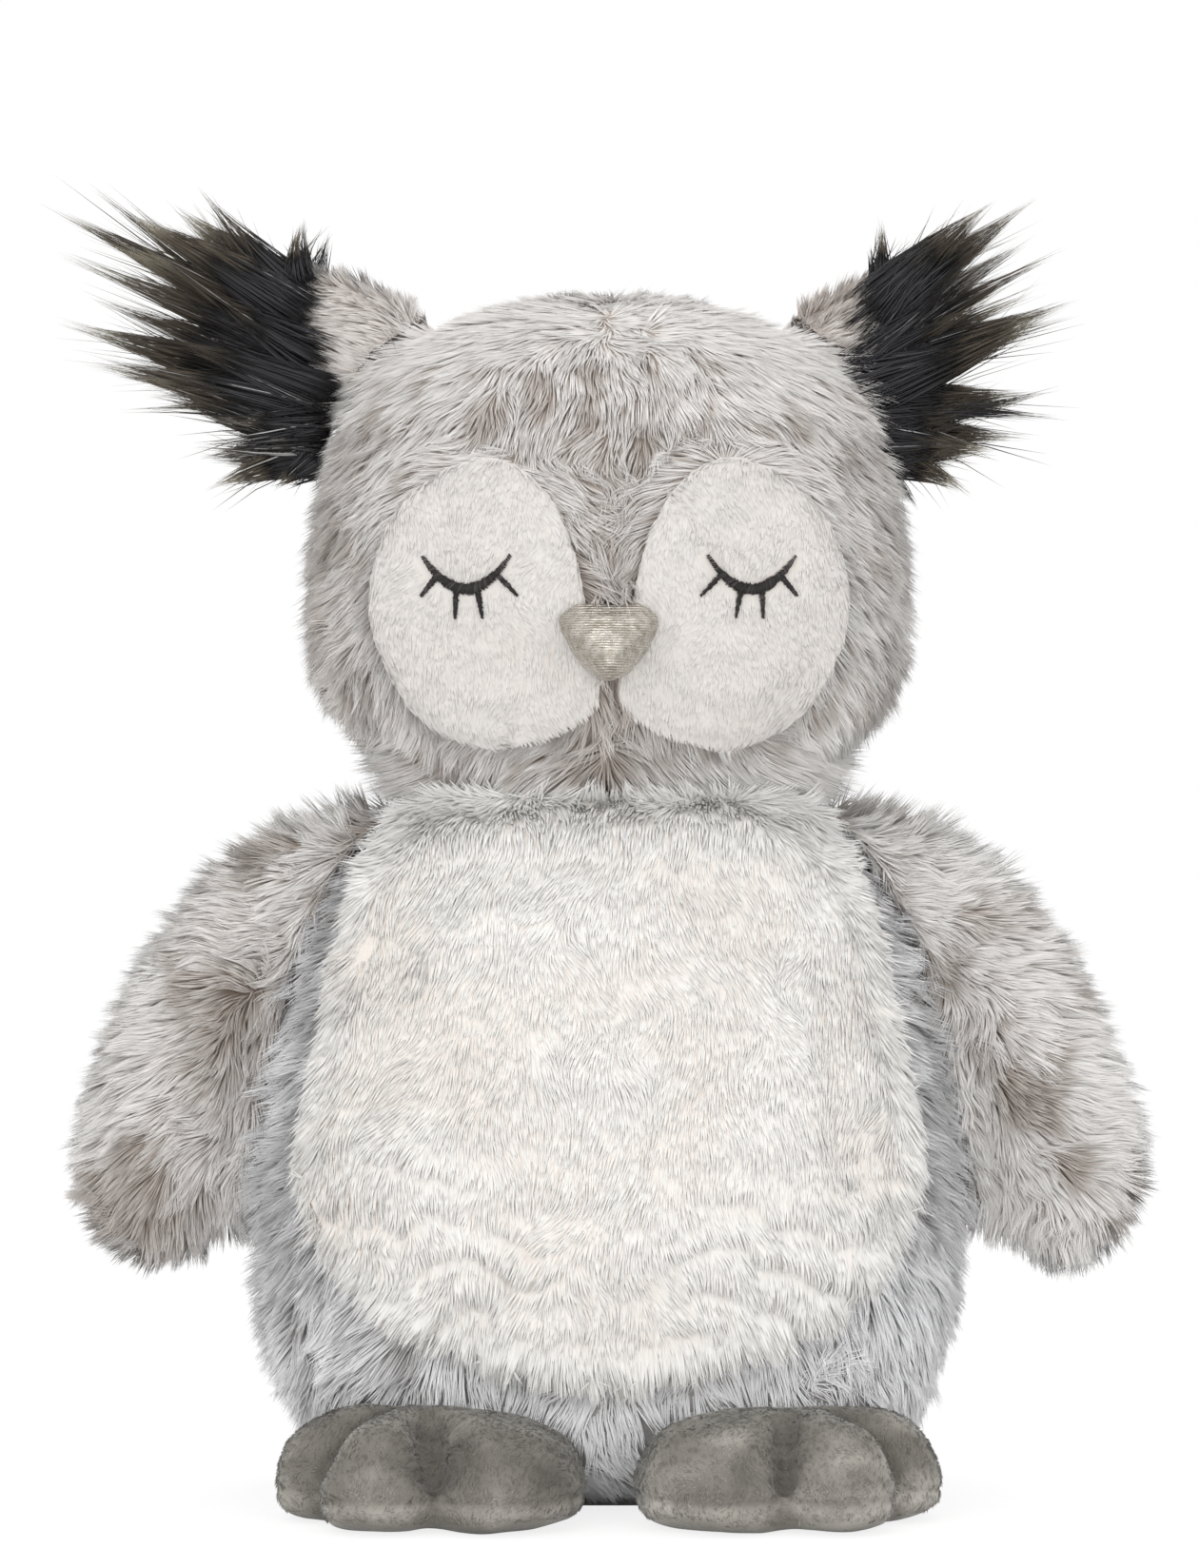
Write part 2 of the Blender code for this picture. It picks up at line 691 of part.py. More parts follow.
def make_closed_eye(name, side, patch_cutter):
    """The arc swells in its middle. Each lash starts inside it and tapers."""
    steps = [-1 + 2 * k / (ARC_STATIONS - 1) for k in range(ARC_STATIONS)]
    widths = [STITCH_WIDTH * (1 - STITCH_TAPER_SHARE * along**2) for along in steps]
    arc = new_object("closed_eye_" + name, loft(thread_rings([stitch_place(side, s) for s in steps], widths)))
    for k, (along, lean) in enumerate(LASH_SHARES):
        start = stitch_place(side, along)
        way = Vector((side * lean, -1)).normalized()
        path = [start + way * LASH_LENGTH * share for share, _ in LASH_ROW_SHARES]
        rings = thread_rings(path, [LASH_WIDTH * width for _, width in LASH_ROW_SHARES])
        boolean(arc, hide_tool(new_object(f"lash_{name}_{k}", loft(rings))), "UNION")
    finish(boolean(arc, patch_cutter), "stitch_thread")


# Beak

def beak_rings(inset):
    """Rounded triangular sections that shrink and droop from the face to the tip."""
    root = front_point(head_rows(), 0, NECK_HEIGHT + BEAK_HEIGHT_ABOVE_NECK, -OVERRUN)
    length = BEAK_LENGTH + OVERRUN - inset
    rings = []
    for out_share, size_share in BEAK_ROW_SHARES:
        centre = root + Vector((0, -length * out_share, -BEAK_DROOP * out_share**2))
        ring = []
        for angle in turns(ROUND_SMALL):
            across, up = math.cos(angle), math.sin(angle)
            widening = (1 + BEAK_TOP_WIDENING_SHARE * up) / (1 + BEAK_FLANK_SHARE * across**2)
            x = (BEAK_HALF_WIDTH - inset) * across * widening
            z = (BEAK_RISE - inset if up > 0 else BEAK_FALL - inset) * up
            ring.append(centre + Vector((x, 0, z)) * size_share)
        rings.append(ring)
    return rings


def make_beak(cutters):
    filling = new_object("beak_filling", loft(beak_rings(BEAK_CLOTH + SLACK)))
    skin = new_object("beak_skin", loft(beak_rings(0.0)[::-1] + beak_rings(BEAK_CLOTH)))
    for piece in (skin, filling):
        for cutter in cutters:
            boolean(piece, cutter)
    finish(skin, "metallic_cloth")
    finish(filling, "fibre")


# Ears and tufts

def make_ear(name, side, head_cutter):
    rows = [
        (
            EAR_ROOT_SIDE + out * EAR_REACH,
            EAR_ROOT_HEIGHT + up * EAR_RISE,
            width * EAR_HALF_WIDTH,
            thickness * EAR_HALF_THICKNESS,
        )
        for out, up, width, thickness in EAR_ROW_SHARES
    ]
    ear = new_object("ear_" + name, loft(mirrored(limb_rings(rows, ROUND_SMALL), side)))
    finish(boolean(ear, head_cutter), "grey_fur")
    return ear


def lock_rings(name, side, k):
    """One lock of a tuft. It starts in the ear, follows its angle in the fan and bends upwards."""
    share = k / (TUFT_LOCKS - 1)
    angle = TUFT_TOP_ANGLES[name] * (1 - share) + TUFT_BOTTOM_ANGLES[name] * share
    length = TUFT_TOP_LENGTHS[name] * (1 - share) + TUFT_BOTTOM_LENGTHS[name] * share
    length *= 1 + TUFT_LENGTH_WAVE_SHARE * (-1) ** k
    up = TUFT_ROOT_TOP_ABOVE_EAR_ROOT * (1 - share) - TUFT_ROOT_BOTTOM_BELOW_EAR_ROOT * share
    root = Vector((TUFT_ROOT_SIDE, TUFT_LOCK_STAGGER * (-1) ** k, EAR_ROOT_HEIGHT + up))
    way = Vector((math.cos(angle), 0, math.sin(angle)))
    over = Vector((-way.z, 0, way.x))
    depth = Vector((0, 1, 0))
    rings = []
    for along, size in TUFT_ROW_SHARES:
        centre = root + way * length * along + over * TUFT_LOCK_BEND * along**2
        radius = TUFT_LOCK_RADIUS * size
        rings.append([
            centre + over * radius * math.cos(a) + depth * radius * math.sin(a) for a in turns(ROUND_LOCK)
        ])
    return mirrored(rings, side)


def make_tuft(name, side, cutters):
    tuft = new_object("ear_tuft_" + name, loft(lock_rings(name, side, 0)))
    for k in range(1, TUFT_LOCKS):
        lock = hide_tool(new_object(f"tuft_lock_{name}_{k}", loft(lock_rings(name, side, k))))
        boolean(tuft, lock, "UNION")
    for cutter in cutters:
        boolean(tuft, cutter)
    finish(tuft, "dark_fur")


# Wings

def wing_rings(shrink, row_shares=WING_ROW_SHARES):
    """A wing on the toy's left, with its sections and its length drawn in by a share."""
    rows = []
    for out, down, width, thickness in row_shares:
        below = max(down - WING_TIP_START_SHARE, 0)
        down -= below * shrink * WING_TIP_SHRINK_SHARE
        rows.append((
            WING_ROOT_SIDE + out * WING_REACH,
            WING_ROOT_HEIGHT - down * WING_DROP,
            width * WING_HALF_WIDTH * (1 - shrink),
            thickness * WING_HALF_THICKNESS * (1 - shrink),
        ))
    return limb_rings(rows, ROUND_WING)


def body_side_cutter():
    """The body's outline seen from the front, as deep as a wing, so that a wing's root is cut straight."""
    depth = WING_HALF_THICKNESS + OVERRUN
    right = [Vector((half_width + GAP, 0, height)) for height, half_width, _, _ in body_rows()]
    outline = right + [Vector((-p.x, 0, p.z)) for p in right[::-1]]
    rings = [[p + Vector((0, y, 0)) for p in outline] for y in (-depth, depth)]
    return hide_tool(new_object("body_side_cutter", loft(rings)))


def wing_hinge(side):
    """A point on the hinge, where the top of the wing meets the side of the body."""
    _, half_width, _, _ = row_at_height(body_rows(), WING_HINGE_HEIGHT)
    return Vector((side * half_width, 0, WING_HINGE_HEIGHT))


def make_wing(name, side, cutter):
    hinge = wing_hinge(side)
    filling_share = WING_PILE_SHARE + SLACK / WING_HALF_THICKNESS
    filling = new_object("wing_filling_" + name, loft(mirrored(wing_rings(filling_share), side)), hinge)
    hollow_shares = WING_HOLLOW_ROOT_SHARES + WING_ROW_SHARES[1:]
    hollow_rings = wing_rings(WING_PILE_SHARE, hollow_shares)
    hollow = hide_tool(new_object("wing_hollow_" + name, loft(mirrored(hollow_rings, side))))
    skin = new_object("wing_skin_" + name, loft(mirrored(wing_rings(0.0), side)), hinge)
    boolean(boolean(skin, cutter), hollow)
    boolean(filling, cutter)
    finish(skin, "grey_fur")
    finish(filling, "fibre")


# Feet

def toe_crease(angle):
    """How near an angle is to one of the two creases between the toes, from 0 to 1."""
    return max(
        math.exp(-(((angle - crease) / TOE_CREASE_SPREAD) ** 2))
        for crease in (TOE_CREASE_ANGLE, -TOE_CREASE_ANGLE)
    )


def foot_radius(angle):
    """Reach of a foot from its middle. An angle of zero is straight forwards."""
    front = (1 + math.cos(angle)) / 2
    plain = FOOT_HEEL_LENGTH + (FOOT_LENGTH - FOOT_HEEL_LENGTH) * min(front / FOOT_WIDENING_SHARE, 1.0)
    return plain * (1 - FOOT_SLANT_SHARE * math.sin(angle)) * (1 - TOE_NOTCH_SHARE * toe_crease(angle))


def foot_ring(side, out_share, height, inset, pressed):
    """One level line round a foot, pulled down along the creases by the pressed share."""
    middle = Vector((FOOT_SIDE, -FOOT_FORWARD, 0))
    points = []
    for angle in turns(ROUND_FOOT):
        angle = angle - 2 * math.pi if angle > math.pi else angle
        reach = max(foot_radius(angle) - inset, 0) * out_share
        heading = angle + FOOT_TURN
        z = height * (1 - TOE_CREASE_SHARE * pressed * toe_crease(angle))
        points.append(middle + Vector((reach * math.sin(heading), -reach * math.cos(heading), z)))
    return [Vector((side * p.x, p.y, p.z)) for p in points]


def foot_top_rings(side, inset):
    """From the top of a foot out to its seam, inset by the cloth's thickness."""
    rise = FOOT_HEIGHT - FOOT_SEAM_HEIGHT - inset
    rings = []
    for out, up in FOOT_TOP_SHARES:
        pressed = max(out - TOE_CREASE_START_SHARE, 0) / (1 - TOE_CREASE_START_SHARE)
        pressed *= min(up / TOE_CREASE_RISE_SHARE, 1.0)
        rings.append(foot_ring(side, out, FOOT_SEAM_HEIGHT + rise * up, inset, pressed))
    return rings


def foot_sole_rings(side, inset, seam_drop):
    """From the seam of a foot down to the floor and in to its middle."""
    seam = FOOT_SEAM_HEIGHT - seam_drop
    rings = [foot_ring(side, 1.0, seam, inset, 0.0)]
    for out, down in FOOT_SOLE_SHARES:
        rings.append(foot_ring(side, out, seam * (1 - down) + inset * down, inset, 0.0))
    return rings


def make_foot(name, side, cutter):
    upper_rings = foot_top_rings(side, 0.0) + foot_top_rings(side, FOOT_CLOTH)[::-1]
    upper = new_object("foot_upper_" + name, loft(upper_rings))
    sole_rings = foot_sole_rings(side, 0.0, GAP)[::-1] + foot_sole_rings(side, FOOT_CLOTH, GAP)
    sole = new_object("foot_sole_" + name, loft(sole_rings))
    inset = FOOT_CLOTH + FOOT_SLACK
    filling_rings = foot_top_rings(side, inset) + foot_sole_rings(side, inset, GAP)[1:]
    filling = new_object("foot_filling_" + name, loft(filling_rings))
    for piece in (upper, sole, filling):
        boolean(piece, cutter)
    finish(upper, "velour")
    finish(sole, "sole_cloth")
    finish(filling, "fibre")


def main():
    for old in list(bpy.data.objects):
        bpy.data.objects.remove(old, do_unlink=True)

    make_body()
    make_head()
    body_form = hide_tool(new_object("body_form", loft(body_shape_rings())))
    head_form = hide_tool(new_object("head_form", loft([oval_ring(row) for row in head_rows()])))
    body_cutter = grown_copy(body_form, GAP)
    head_cutter = grown_copy(head_form, GAP)
    side_cutter = body_side_cutter()

    make_belly(body_cutter)
    patch_cutters = []
    for name, side in SIDES.items():
        patch = make_eye_patch(name, side, head_cutter)
        patch_cutter = grown_copy(patch, GAP)
        make_closed_eye(name, side, patch_cutter)
        patch_cutters.append(patch_cutter)
        ear = make_ear(name, side, head_cutter)
        make_tuft(name, side, [head_cutter, grown_copy(ear, GAP)])
        make_wing(name, side, side_cutter)
        make_foot(name, side, body_cutter)
    make_beak([*patch_cutters, head_cutter])


main()
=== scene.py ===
"""Looks of a standing plush owl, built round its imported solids: fur, plush, face, feet and studio."""

import math

import bmesh
import bpy
import numpy as np
from bpy.props import FloatProperty, FloatVectorProperty, IntProperty, PointerProperty
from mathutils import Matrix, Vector, kdtree
from mathutils.bvhtree import BVHTree


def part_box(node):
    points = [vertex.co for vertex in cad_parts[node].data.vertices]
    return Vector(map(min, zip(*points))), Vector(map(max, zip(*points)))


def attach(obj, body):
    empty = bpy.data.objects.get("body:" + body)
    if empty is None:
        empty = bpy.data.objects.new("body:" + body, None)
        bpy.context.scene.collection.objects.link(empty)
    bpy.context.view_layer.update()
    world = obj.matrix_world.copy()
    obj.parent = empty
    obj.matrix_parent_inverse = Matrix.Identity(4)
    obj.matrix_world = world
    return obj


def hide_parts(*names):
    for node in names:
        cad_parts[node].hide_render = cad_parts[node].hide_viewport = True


bl_info = {
    "name": "Plush owl",
    "version": (1, 0, 0),
    "blender": (4, 5, 0),
    "location": "View3D > Sidebar > Owl",
    "description": "Fur, face, feet and studio of a standing plush owl",
    "category": "Object",
}

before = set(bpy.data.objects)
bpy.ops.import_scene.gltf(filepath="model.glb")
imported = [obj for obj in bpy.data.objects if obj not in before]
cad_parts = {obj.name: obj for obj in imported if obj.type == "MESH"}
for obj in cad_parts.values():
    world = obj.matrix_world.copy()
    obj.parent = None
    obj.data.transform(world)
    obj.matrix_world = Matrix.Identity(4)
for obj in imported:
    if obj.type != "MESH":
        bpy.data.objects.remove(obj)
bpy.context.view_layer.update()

SIDES = {"left": 1, "right": -1}
DOWN = np.array((0.0, 0.0, -1.0))
BACK = np.array((0.0, 1.0, 0.0))
NECK_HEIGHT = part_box("head_skin")[0].z
BEAK_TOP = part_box("beak_skin")[1].z
EARS = [f"ear_{name}" for name in SIDES]
PATCHES = [f"eye_patch_{name}" for name in SIDES]
PATCH_BOXES = [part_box(patch) for patch in PATCHES]
FEET = [f"foot_{part}_{name}" for part in ("upper", "sole") for name in SIDES]

# Points nearer than this are one point.
WELD = 0.00001
# How deep in the cloth a strand starts.
START = 0.0002
# How far a covering piece may lie above the cloth that it covers, and where it only meets the cloth.
COVER_REACH = 0.014
MEETING_REACH = 0.003
# How near another piece has to be for two cloths to lie against each other.
AGAINST_REACH = 0.007
# Waves that make up a smooth random field.
WAVES = 18
# How wide a strand is in its UV map, so that its faces have some area there.
UV_WIDTH = 0.004
# How much of the cloth's own direction the shading of its pile takes: of fur, of nap and of plush.
FUR_SOFTNESS = 0.88
NAP_SOFTNESS = 0.95
PLUSH_SOFTNESS = 0.97
# How much a strand's tone and the way along it count in its colour.
TONE_AND_ALONG = (0.55, 0.60)
# How far locks differ in the light: of fur, and of plush.
FUR_TILT = 0.16
PLUSH_TILT = 0.02
# The most strands that one piece takes.
MOST_STRANDS = 49500
# How high the tips stay above the floor.
FLOOR_CLEARANCE = 0.0004
# The grid that each cloth is remeshed on.
GRIDS = {
    "body": 0.0031, "head": 0.0028, "wing": 0.0026, "belly": 0.0013, "ear": 0.0014, "patch": 0.0009, "beak": 0.0006,
    "foot": 0.0020, "base": 0.0016,
}
# How far a cloth is drawn in to leave room for its pile, as a share of the pile's length.
INSET_SHARES = {"body": 0.56, "head": 0.54, "wing": 0.52, "foot": 0.3}
# Wavelength and strength of the comb's drift: over the whole piece, and from lock to lock.
COMB_DRIFTS = {
    "body": ((0.05, 0.45), (0.013, 0.42)),
    "head": ((0.05, 0.35), (0.014, 0.26)),
    "wing": ((0.045, 0.4), (0.012, 0.50)),
    "belly": ((0.06, 0.38), (0.022, 0.30)),
    "ear": ((0.03, 0.5),),
    "patch": ((0.03, 0.5),),
    "foot": ((0.02, 0.8),),
}
# Tone of grey fur, then wavelength and strength of its drift, and of its dark flecks.
MOTTLES = {
    "body": (0.68, (0.050, 0.16), (0.013, 0.50)),
    "head": (0.72, (0.045, 0.16), (0.0125, 0.60)),
    "wing": (0.68, (0.045, 0.18), (0.017, 0.64)),
    "ear": (0.62, (0.025, 0.2), (0.013, 0.30)),
}
# How much paler a piece is than its kind.
PALER = {"wing_left": 0.20, "wing_right": -0.04, "ear_left": -0.44, "ear_right": 0.0}
BLACK, WHITE = (0, 0, 0), (1, 1, 1)
# Roughness, sheen, the clouds' noise and where they start and end, and the bump's noise and depth. A noise
# has a scale, a detail and a stretch.
CLOTHS = {
    "backing": (0.9, 0.0, (260,), (0.35, 0.65), (1400,), 0.0002),
    "nap": (0.85, 0.3, (60, 3, (1, 1, 1.6)), (0.30, 0.70), (900, 4), 0.0003),
    "plush": (0.9, 0.1, (28, 2), (0.35, 0.65), (700, 3, (1, 1, 0.3)), 0.0002),
}
# Place, size and watts of each lamp, and what they are turned to.
LAMPS = {
    "key": ((-0.8, -1.7, 0.85), 1.3, 12),
    "fill": ((1.0, -1.6, 0.40), 1.3, 9),
    "top": ((0.0, 0.3, 1.6), 1.0, 5),
}
LAMPS_AIM = Vector((0, 0, 0.18))
FLOOR_SIZE = 12
# How much of the floor's own colour gives way to plain white before the camera.
FLOOR_WHITENESS = 0.75
SENSOR_HEIGHT = 36
# How far the picture's middle lies from the camera's line, as shares of its height.
PICTURE_SHIFT = (-10 / 1648, 18.3 / 1648)


# Settings

def count_setting(name, description, default):
    return IntProperty(name=name, description=description, default=default, min=1)


def share_setting(name, description, default):
    return FloatProperty(name=name, description=description, default=default)


def size_setting(name, description, default):
    return FloatProperty(name=name, description=description, default=default, unit="LENGTH")


def colour_setting(name, description, default):
    return FloatVectorProperty(name=name, description=description, default=default, subtype="COLOR", min=0, max=1)


def strands_setting(default):
    return count_setting("Strands", "How many strands of pile it has", default)


def length_setting(default):
    return size_setting("Pile length", "Length of one strand", default)


def width_setting(default):
    return size_setting("Strand width", "Widest place of one strand", default)


def lift_setting(default):
    return FloatProperty(
        name="Lift", description="Angle between a strand and the cloth", default=math.radians(default), subtype="ANGLE"
    )


def lock_setting(default):
    return count_setting("Strands in a lock", "How many strands end together", default)


def gather_setting(default):
    return share_setting("Gather", "How far the strands of a lock close up", default)


def root_setting(default):
    return colour_setting("Root", "Colour next to the cloth", default)


def middle_setting(default):
    return colour_setting("Middle", "Colour half way up", default)


def tip_setting(default):
    return colour_setting("Tips", "Colour of the tips", default)


class BodyFurSettings(bpy.types.PropertyGroup):
    strands: strands_setting(84000)
    length: length_setting(0.0104)
    width: width_setting(0.00066)
    lift: lift_setting(40)
    lock_strands: lock_setting(15)
    gather: gather_setting(0.28)
    root_colour: root_setting((0.38, 0.365, 0.36))
    middle_colour: middle_setting((0.66, 0.655, 0.66))
    pale_colour: tip_setting((0.97, 0.97, 0.98))


class HeadFurSettings(bpy.types.PropertyGroup):
    strands: strands_setting(106000)
    length: length_setting(0.0096)
    width: width_setting(0.00060)
    lift: lift_setting(33)
    lock_strands: lock_setting(12)
    gather: gather_setting(0.16)
    root_colour: root_setting((0.47, 0.405, 0.36))
    middle_colour: middle_setting((0.63, 0.58, 0.54))
    pale_colour: tip_setting((0.90, 0.875, 0.85))


class WingFurSettings(bpy.types.PropertyGroup):
    strands: strands_setting(37000)
    length: length_setting(0.0112)
    width: width_setting(0.00066)
    lift: lift_setting(42)
    lock_strands: lock_setting(16)
    gather: gather_setting(0.30)
    root_colour: root_setting((0.32, 0.265, 0.22))
    middle_colour: middle_setting((0.61, 0.56, 0.52))
    pale_colour: tip_setting((0.97, 0.945, 0.92))


class EarFurSettings(bpy.types.PropertyGroup):
    strands: strands_setting(7500)
    length: length_setting(0.0072)
    width: width_setting(0.00056)
    lift: lift_setting(38)
    lock_strands: lock_setting(12)
    gather: gather_setting(0.34)
    root_colour: root_setting((0.36, 0.30, 0.26))
    middle_colour: middle_setting((0.62, 0.56, 0.515))
    pale_colour: tip_setting((0.90, 0.855, 0.82))


class BellyPlushSettings(bpy.types.PropertyGroup):
    strands: strands_setting(56000)
    length: length_setting(0.0050)
    width: width_setting(0.00100)
    lift: lift_setting(9)
    lock_strands: lock_setting(16)
    gather: gather_setting(0.14)
    wave_height: size_setting("Wave height", "Of the soft waves in the plush", 0.0014)
    row_height: size_setting("Row height", "How far a row of tufts stands over the next", 0.0030)
    row_pitch: size_setting("Row pitch", "Between rows of tufts", 0.0118)
    root_colour: root_setting((0.77, 0.715, 0.66))
    middle_colour: middle_setting((0.79, 0.77, 0.735))
    pale_colour: tip_setting((0.835, 0.82, 0.795))


class PatchPlushSettings(bpy.types.PropertyGroup):
    strands: strands_setting(8000)
    length: length_setting(0.0028)
    width: width_setting(0.00090)
    lift: lift_setting(6)
    lock_strands: lock_setting(6)
    gather: gather_setting(0.08)
    root_colour: root_setting((0.64, 0.60, 0.56))
    middle_colour: middle_setting((0.67, 0.64, 0.61))
    pale_colour: tip_setting((0.69, 0.67, 0.645))


class FootNapSettings(bpy.types.PropertyGroup):
    strands: strands_setting(9000)
    length: length_setting(0.0020)
    width: width_setting(0.00045)
    lift: lift_setting(14)
    lock_strands: lock_setting(5)
    gather: gather_setting(0.15)
    root_colour: root_setting((0.105, 0.097, 0.084))
    middle_colour: middle_setting((0.205, 0.192, 0.168))
    pale_colour: tip_setting((0.46, 0.437, 0.395))
    seam_depth: size_setting("Seam depth", "How far the seam round the front is drawn in", 0.0012)
    seam_width: size_setting("Seam width", "How wide the drawn-in line is", 0.0017)
    crease_depth: size_setting("Crease depth", "How much deeper the creases between the toes go", 0.0026)


class EarTuftSettings(bpy.types.PropertyGroup):
    hairs: count_setting("Hairs", "How many hairs one fan has", 9000)
    width: width_setting(0.00047)
    wisps: count_setting("Wisps", "Thinner locks in one main lock", 6)
    lock_radius: size_setting("Lock radius", "Of a main lock where it leaves the ear", 0.0125)
    depth: size_setting("Depth", "Front to back size of a fan", 0.018)
    bend: size_setting("Bend", "How far a wisp curls at its tip", 0.0035)
    pale_share: share_setting("Pale hairs", "Share of the hairs that are white", 0.012)
    root_colour: colour_setting("Root", "Colour in the ear", (0.047, 0.047, 0.051))
    dark_colour: colour_setting("Spots", "Darker rows across the locks", (0.010, 0.009, 0.009))
    brown_colour: colour_setting("Brown", "Between the spots and the ends", (0.10, 0.082, 0.062))
    tip_colour: colour_setting("Tips", "Ends of the hairs", (0.42, 0.38, 0.29))
    pale_colour: colour_setting("Pale hairs", "Colour of the pale hairs", (0.55, 0.54, 0.53))


class StitchSettings(bpy.types.PropertyGroup):
    centre: size_setting("Centre", "Sideways from the middle", 0.0396)
    height: size_setting("Height", "Of the ends of the arc above the neck", 0.0640)
    half_width: size_setting("Half width", "Of the arc", 0.0122)
    sag: size_setting("Sag", "How far the arc hangs", 0.0092)
    width: size_setting("Width", "Of the satin stitch", 0.0037)
    lash_width: size_setting("Lash width", "At the arc", 0.0020)
    lash_length: size_setting("Lash length", "From the arc", 0.0086)
    thread: size_setting("Thread", "Thickness of one thread", 0.00060)
    dimple: size_setting("Dimple", "How far the stitches draw the plush in", 0.0012)
    colour: colour_setting("Thread colour", "Satin stitch of the closed eyes", (0.013, 0.011, 0.011))


class BeakSettings(bpy.types.PropertyGroup):
    crinkle: size_setting("Crinkle", "Depth of the cloth's wrinkles", 0.00016)
    row_pitch: size_setting("Row pitch", "Between rows of the weave", 0.0007)
    top_share: share_setting("Top width", "Width at the top, as a share of the solid's", 1.13)
    tip_share: share_setting("Tip width", "Width at the tip, as a share of the solid's", 1.10)
    pale_colour: colour_setting("Foil", "Smooth foil", (0.62, 0.585, 0.53))
    dark_colour: colour_setting("Worn foil", "Cloth that shows through the foil", (0.30, 0.255, 0.19))


class StudioSettings(bpy.types.PropertyGroup):
    room_light: share_setting("Room light", "Strength of the white room round the toy", 0.82)
    camera_distance: size_setting("Camera distance", "From the middle of the toy", 1.6)
    camera_height: size_setting("Camera height", "Above the floor", 0.20)
    frame_height: size_setting("Frame height", "Height that the picture shows at the toy's middle", 0.4565)
    backdrop_colour: colour_setting("Backdrop", "Floor and backdrop", (0.93, 0.93, 0.93))
    floor_glow: share_setting("Floor glow", "Makes the floor as white as the backdrop to the camera", 1.09)


SETTINGS = {
    "owl_body": BodyFurSettings,
    "owl_head": HeadFurSettings,
    "owl_wing": WingFurSettings,
    "owl_ear": EarFurSettings,
    "owl_belly": BellyPlushSettings,
    "owl_patch": PatchPlushSettings,
    "owl_tuft": EarTuftSettings,
    "owl_stitch": StitchSettings,
    "owl_beak": BeakSettings,
    "owl_foot": FootNapSettings,
    "owl_studio": StudioSettings,
}

# The seam that each fan of long hair grows from, from its top past its middle to its bottom: outwards and
# above the neck.
FAN_SEAMS = {
    "left": ((0.0785, 0.1440), (0.0650, 0.1150), (0.0790, 0.0945)),
    "right": ((0.0900, 0.1465), (0.0780, 0.1150), (0.0835, 0.0945)),
}
# Main locks of each fan, from its top to its bottom: share along the seam, the tip outwards and above the
# neck, thickness, and the share of its hairs that are pale.
FAN_LOCKS = {
    "left": (
        (0.02, 0.0815, 0.1640, 0.25, 0.0), (0.12, 0.1085, 0.1705, 0.9, 0.0), (0.23, 0.1190, 0.1715, 0.9, 0.02),
        (0.33, 0.1215, 0.1605, 0.7, 0.45), (0.40, 0.1288, 0.1585, 0.3, 0.0), (0.46, 0.1235, 0.1490, 0.3, 0.0),
        (0.50, 0.1335, 0.1433, 0.7, 0.04), (0.58, 0.1310, 0.1362, 1.2, 0.0), (0.68, 0.1195, 0.1178, 1.0, 0.03),
        (0.74, 0.1305, 0.1142, 0.4, 0.0), (0.80, 0.1170, 0.1065, 0.9, 0.02), (0.87, 0.1115, 0.0985, 0.8, 0.0),
        (0.94, 0.1050, 0.0910, 0.6, 0.0), (0.98, 0.0950, 0.0925, 0.4, 0.0), (0.99, 0.0900, 0.0885, 0.2, 0.0),
    ),
    "right": (
        (0.02, 0.0936, 0.1600, 0.3, 0.0), (0.10, 0.1270, 0.1670, 1.0, 0.0), (0.18, 0.1370, 0.1675, 0.8, 0.0),
        (0.29, 0.1617, 0.1705, 0.6, 0.02), (0.36, 0.1460, 0.1620, 0.8, 0.0), (0.42, 0.1577, 0.1590, 0.5, 0.0),
        (0.50, 0.1515, 0.1418, 0.5, 0.0), (0.57, 0.1587, 0.1362, 1.1, 0.0), (0.66, 0.1501, 0.1228, 0.5, 0.06),
        (0.73, 0.1380, 0.1195, 0.8, 0.05), (0.80, 0.1265, 0.1110, 0.8, 0.12), (0.88, 0.1190, 0.0955, 0.6, 0.16),
        (0.93, 0.1166, 0.0893, 0.5, 0.0), (0.98, 0.0972, 0.0868, 0.4, 0.0),
    ),
}
# Where a lash starts along the arc, from its outer end at -1, how far it leans outwards, and its length.
LASH_SHARES = ((-0.66, 0.80, 0.85), (-0.24, 0.02, 1.0), (0.24, -0.18, 1.0), (0.68, -0.95, 1.0))
# A wing's shoulder, the way from it to the tip, and the way across the wing, each outwards and up.
SHOULDER = np.array((0.075, 0.190))
WING_WAY = np.array((0.49, -0.87))
ACROSS_WING = np.array((-WING_WAY[1], WING_WAY[0]))
# Threads in the arc of a closed eye and in one lash.
ARC_THREADS = 66
LASH_THREADS = 18


# Vectors and chance

def unit(rows):
    """The rows at length one."""
    return rows / np.maximum(np.linalg.norm(rows, axis=-1, keepdims=True), 1e-12)


def along_cloth(directions, normals):
    """Directions laid flat on the cloth under them."""
    return unit(directions - normals * (directions * normals).sum(-1, keepdims=True))


def seeded(name):
    """A source of random numbers that gives the same ones for a name each time."""
    return np.random.default_rng(list(name.encode()))


def drift(places, wavelength, name, stretch=(1, 1, 1)):
    """A smooth random field, mostly between -1 and 1, whose blotches are half a wavelength wide."""
    rng = seeded(name)
    waves = unit(rng.normal(size=(WAVES, 3))) * (2 * np.pi / wavelength) * rng.uniform(0.6, 1.5, (WAVES, 1))
    phases = rng.uniform(0, 2 * np.pi, WAVES)
    return np.sin((places / np.array(stretch)) @ waves.T + phases).sum(1) * math.sqrt(2 / WAVES) / 1.6


def drift_vectors(places, wavelength, name):
    """A smooth random field of directions."""
    return np.stack([drift(places, wavelength, f"{name} {axis}") for axis in "xyz"], axis=1)


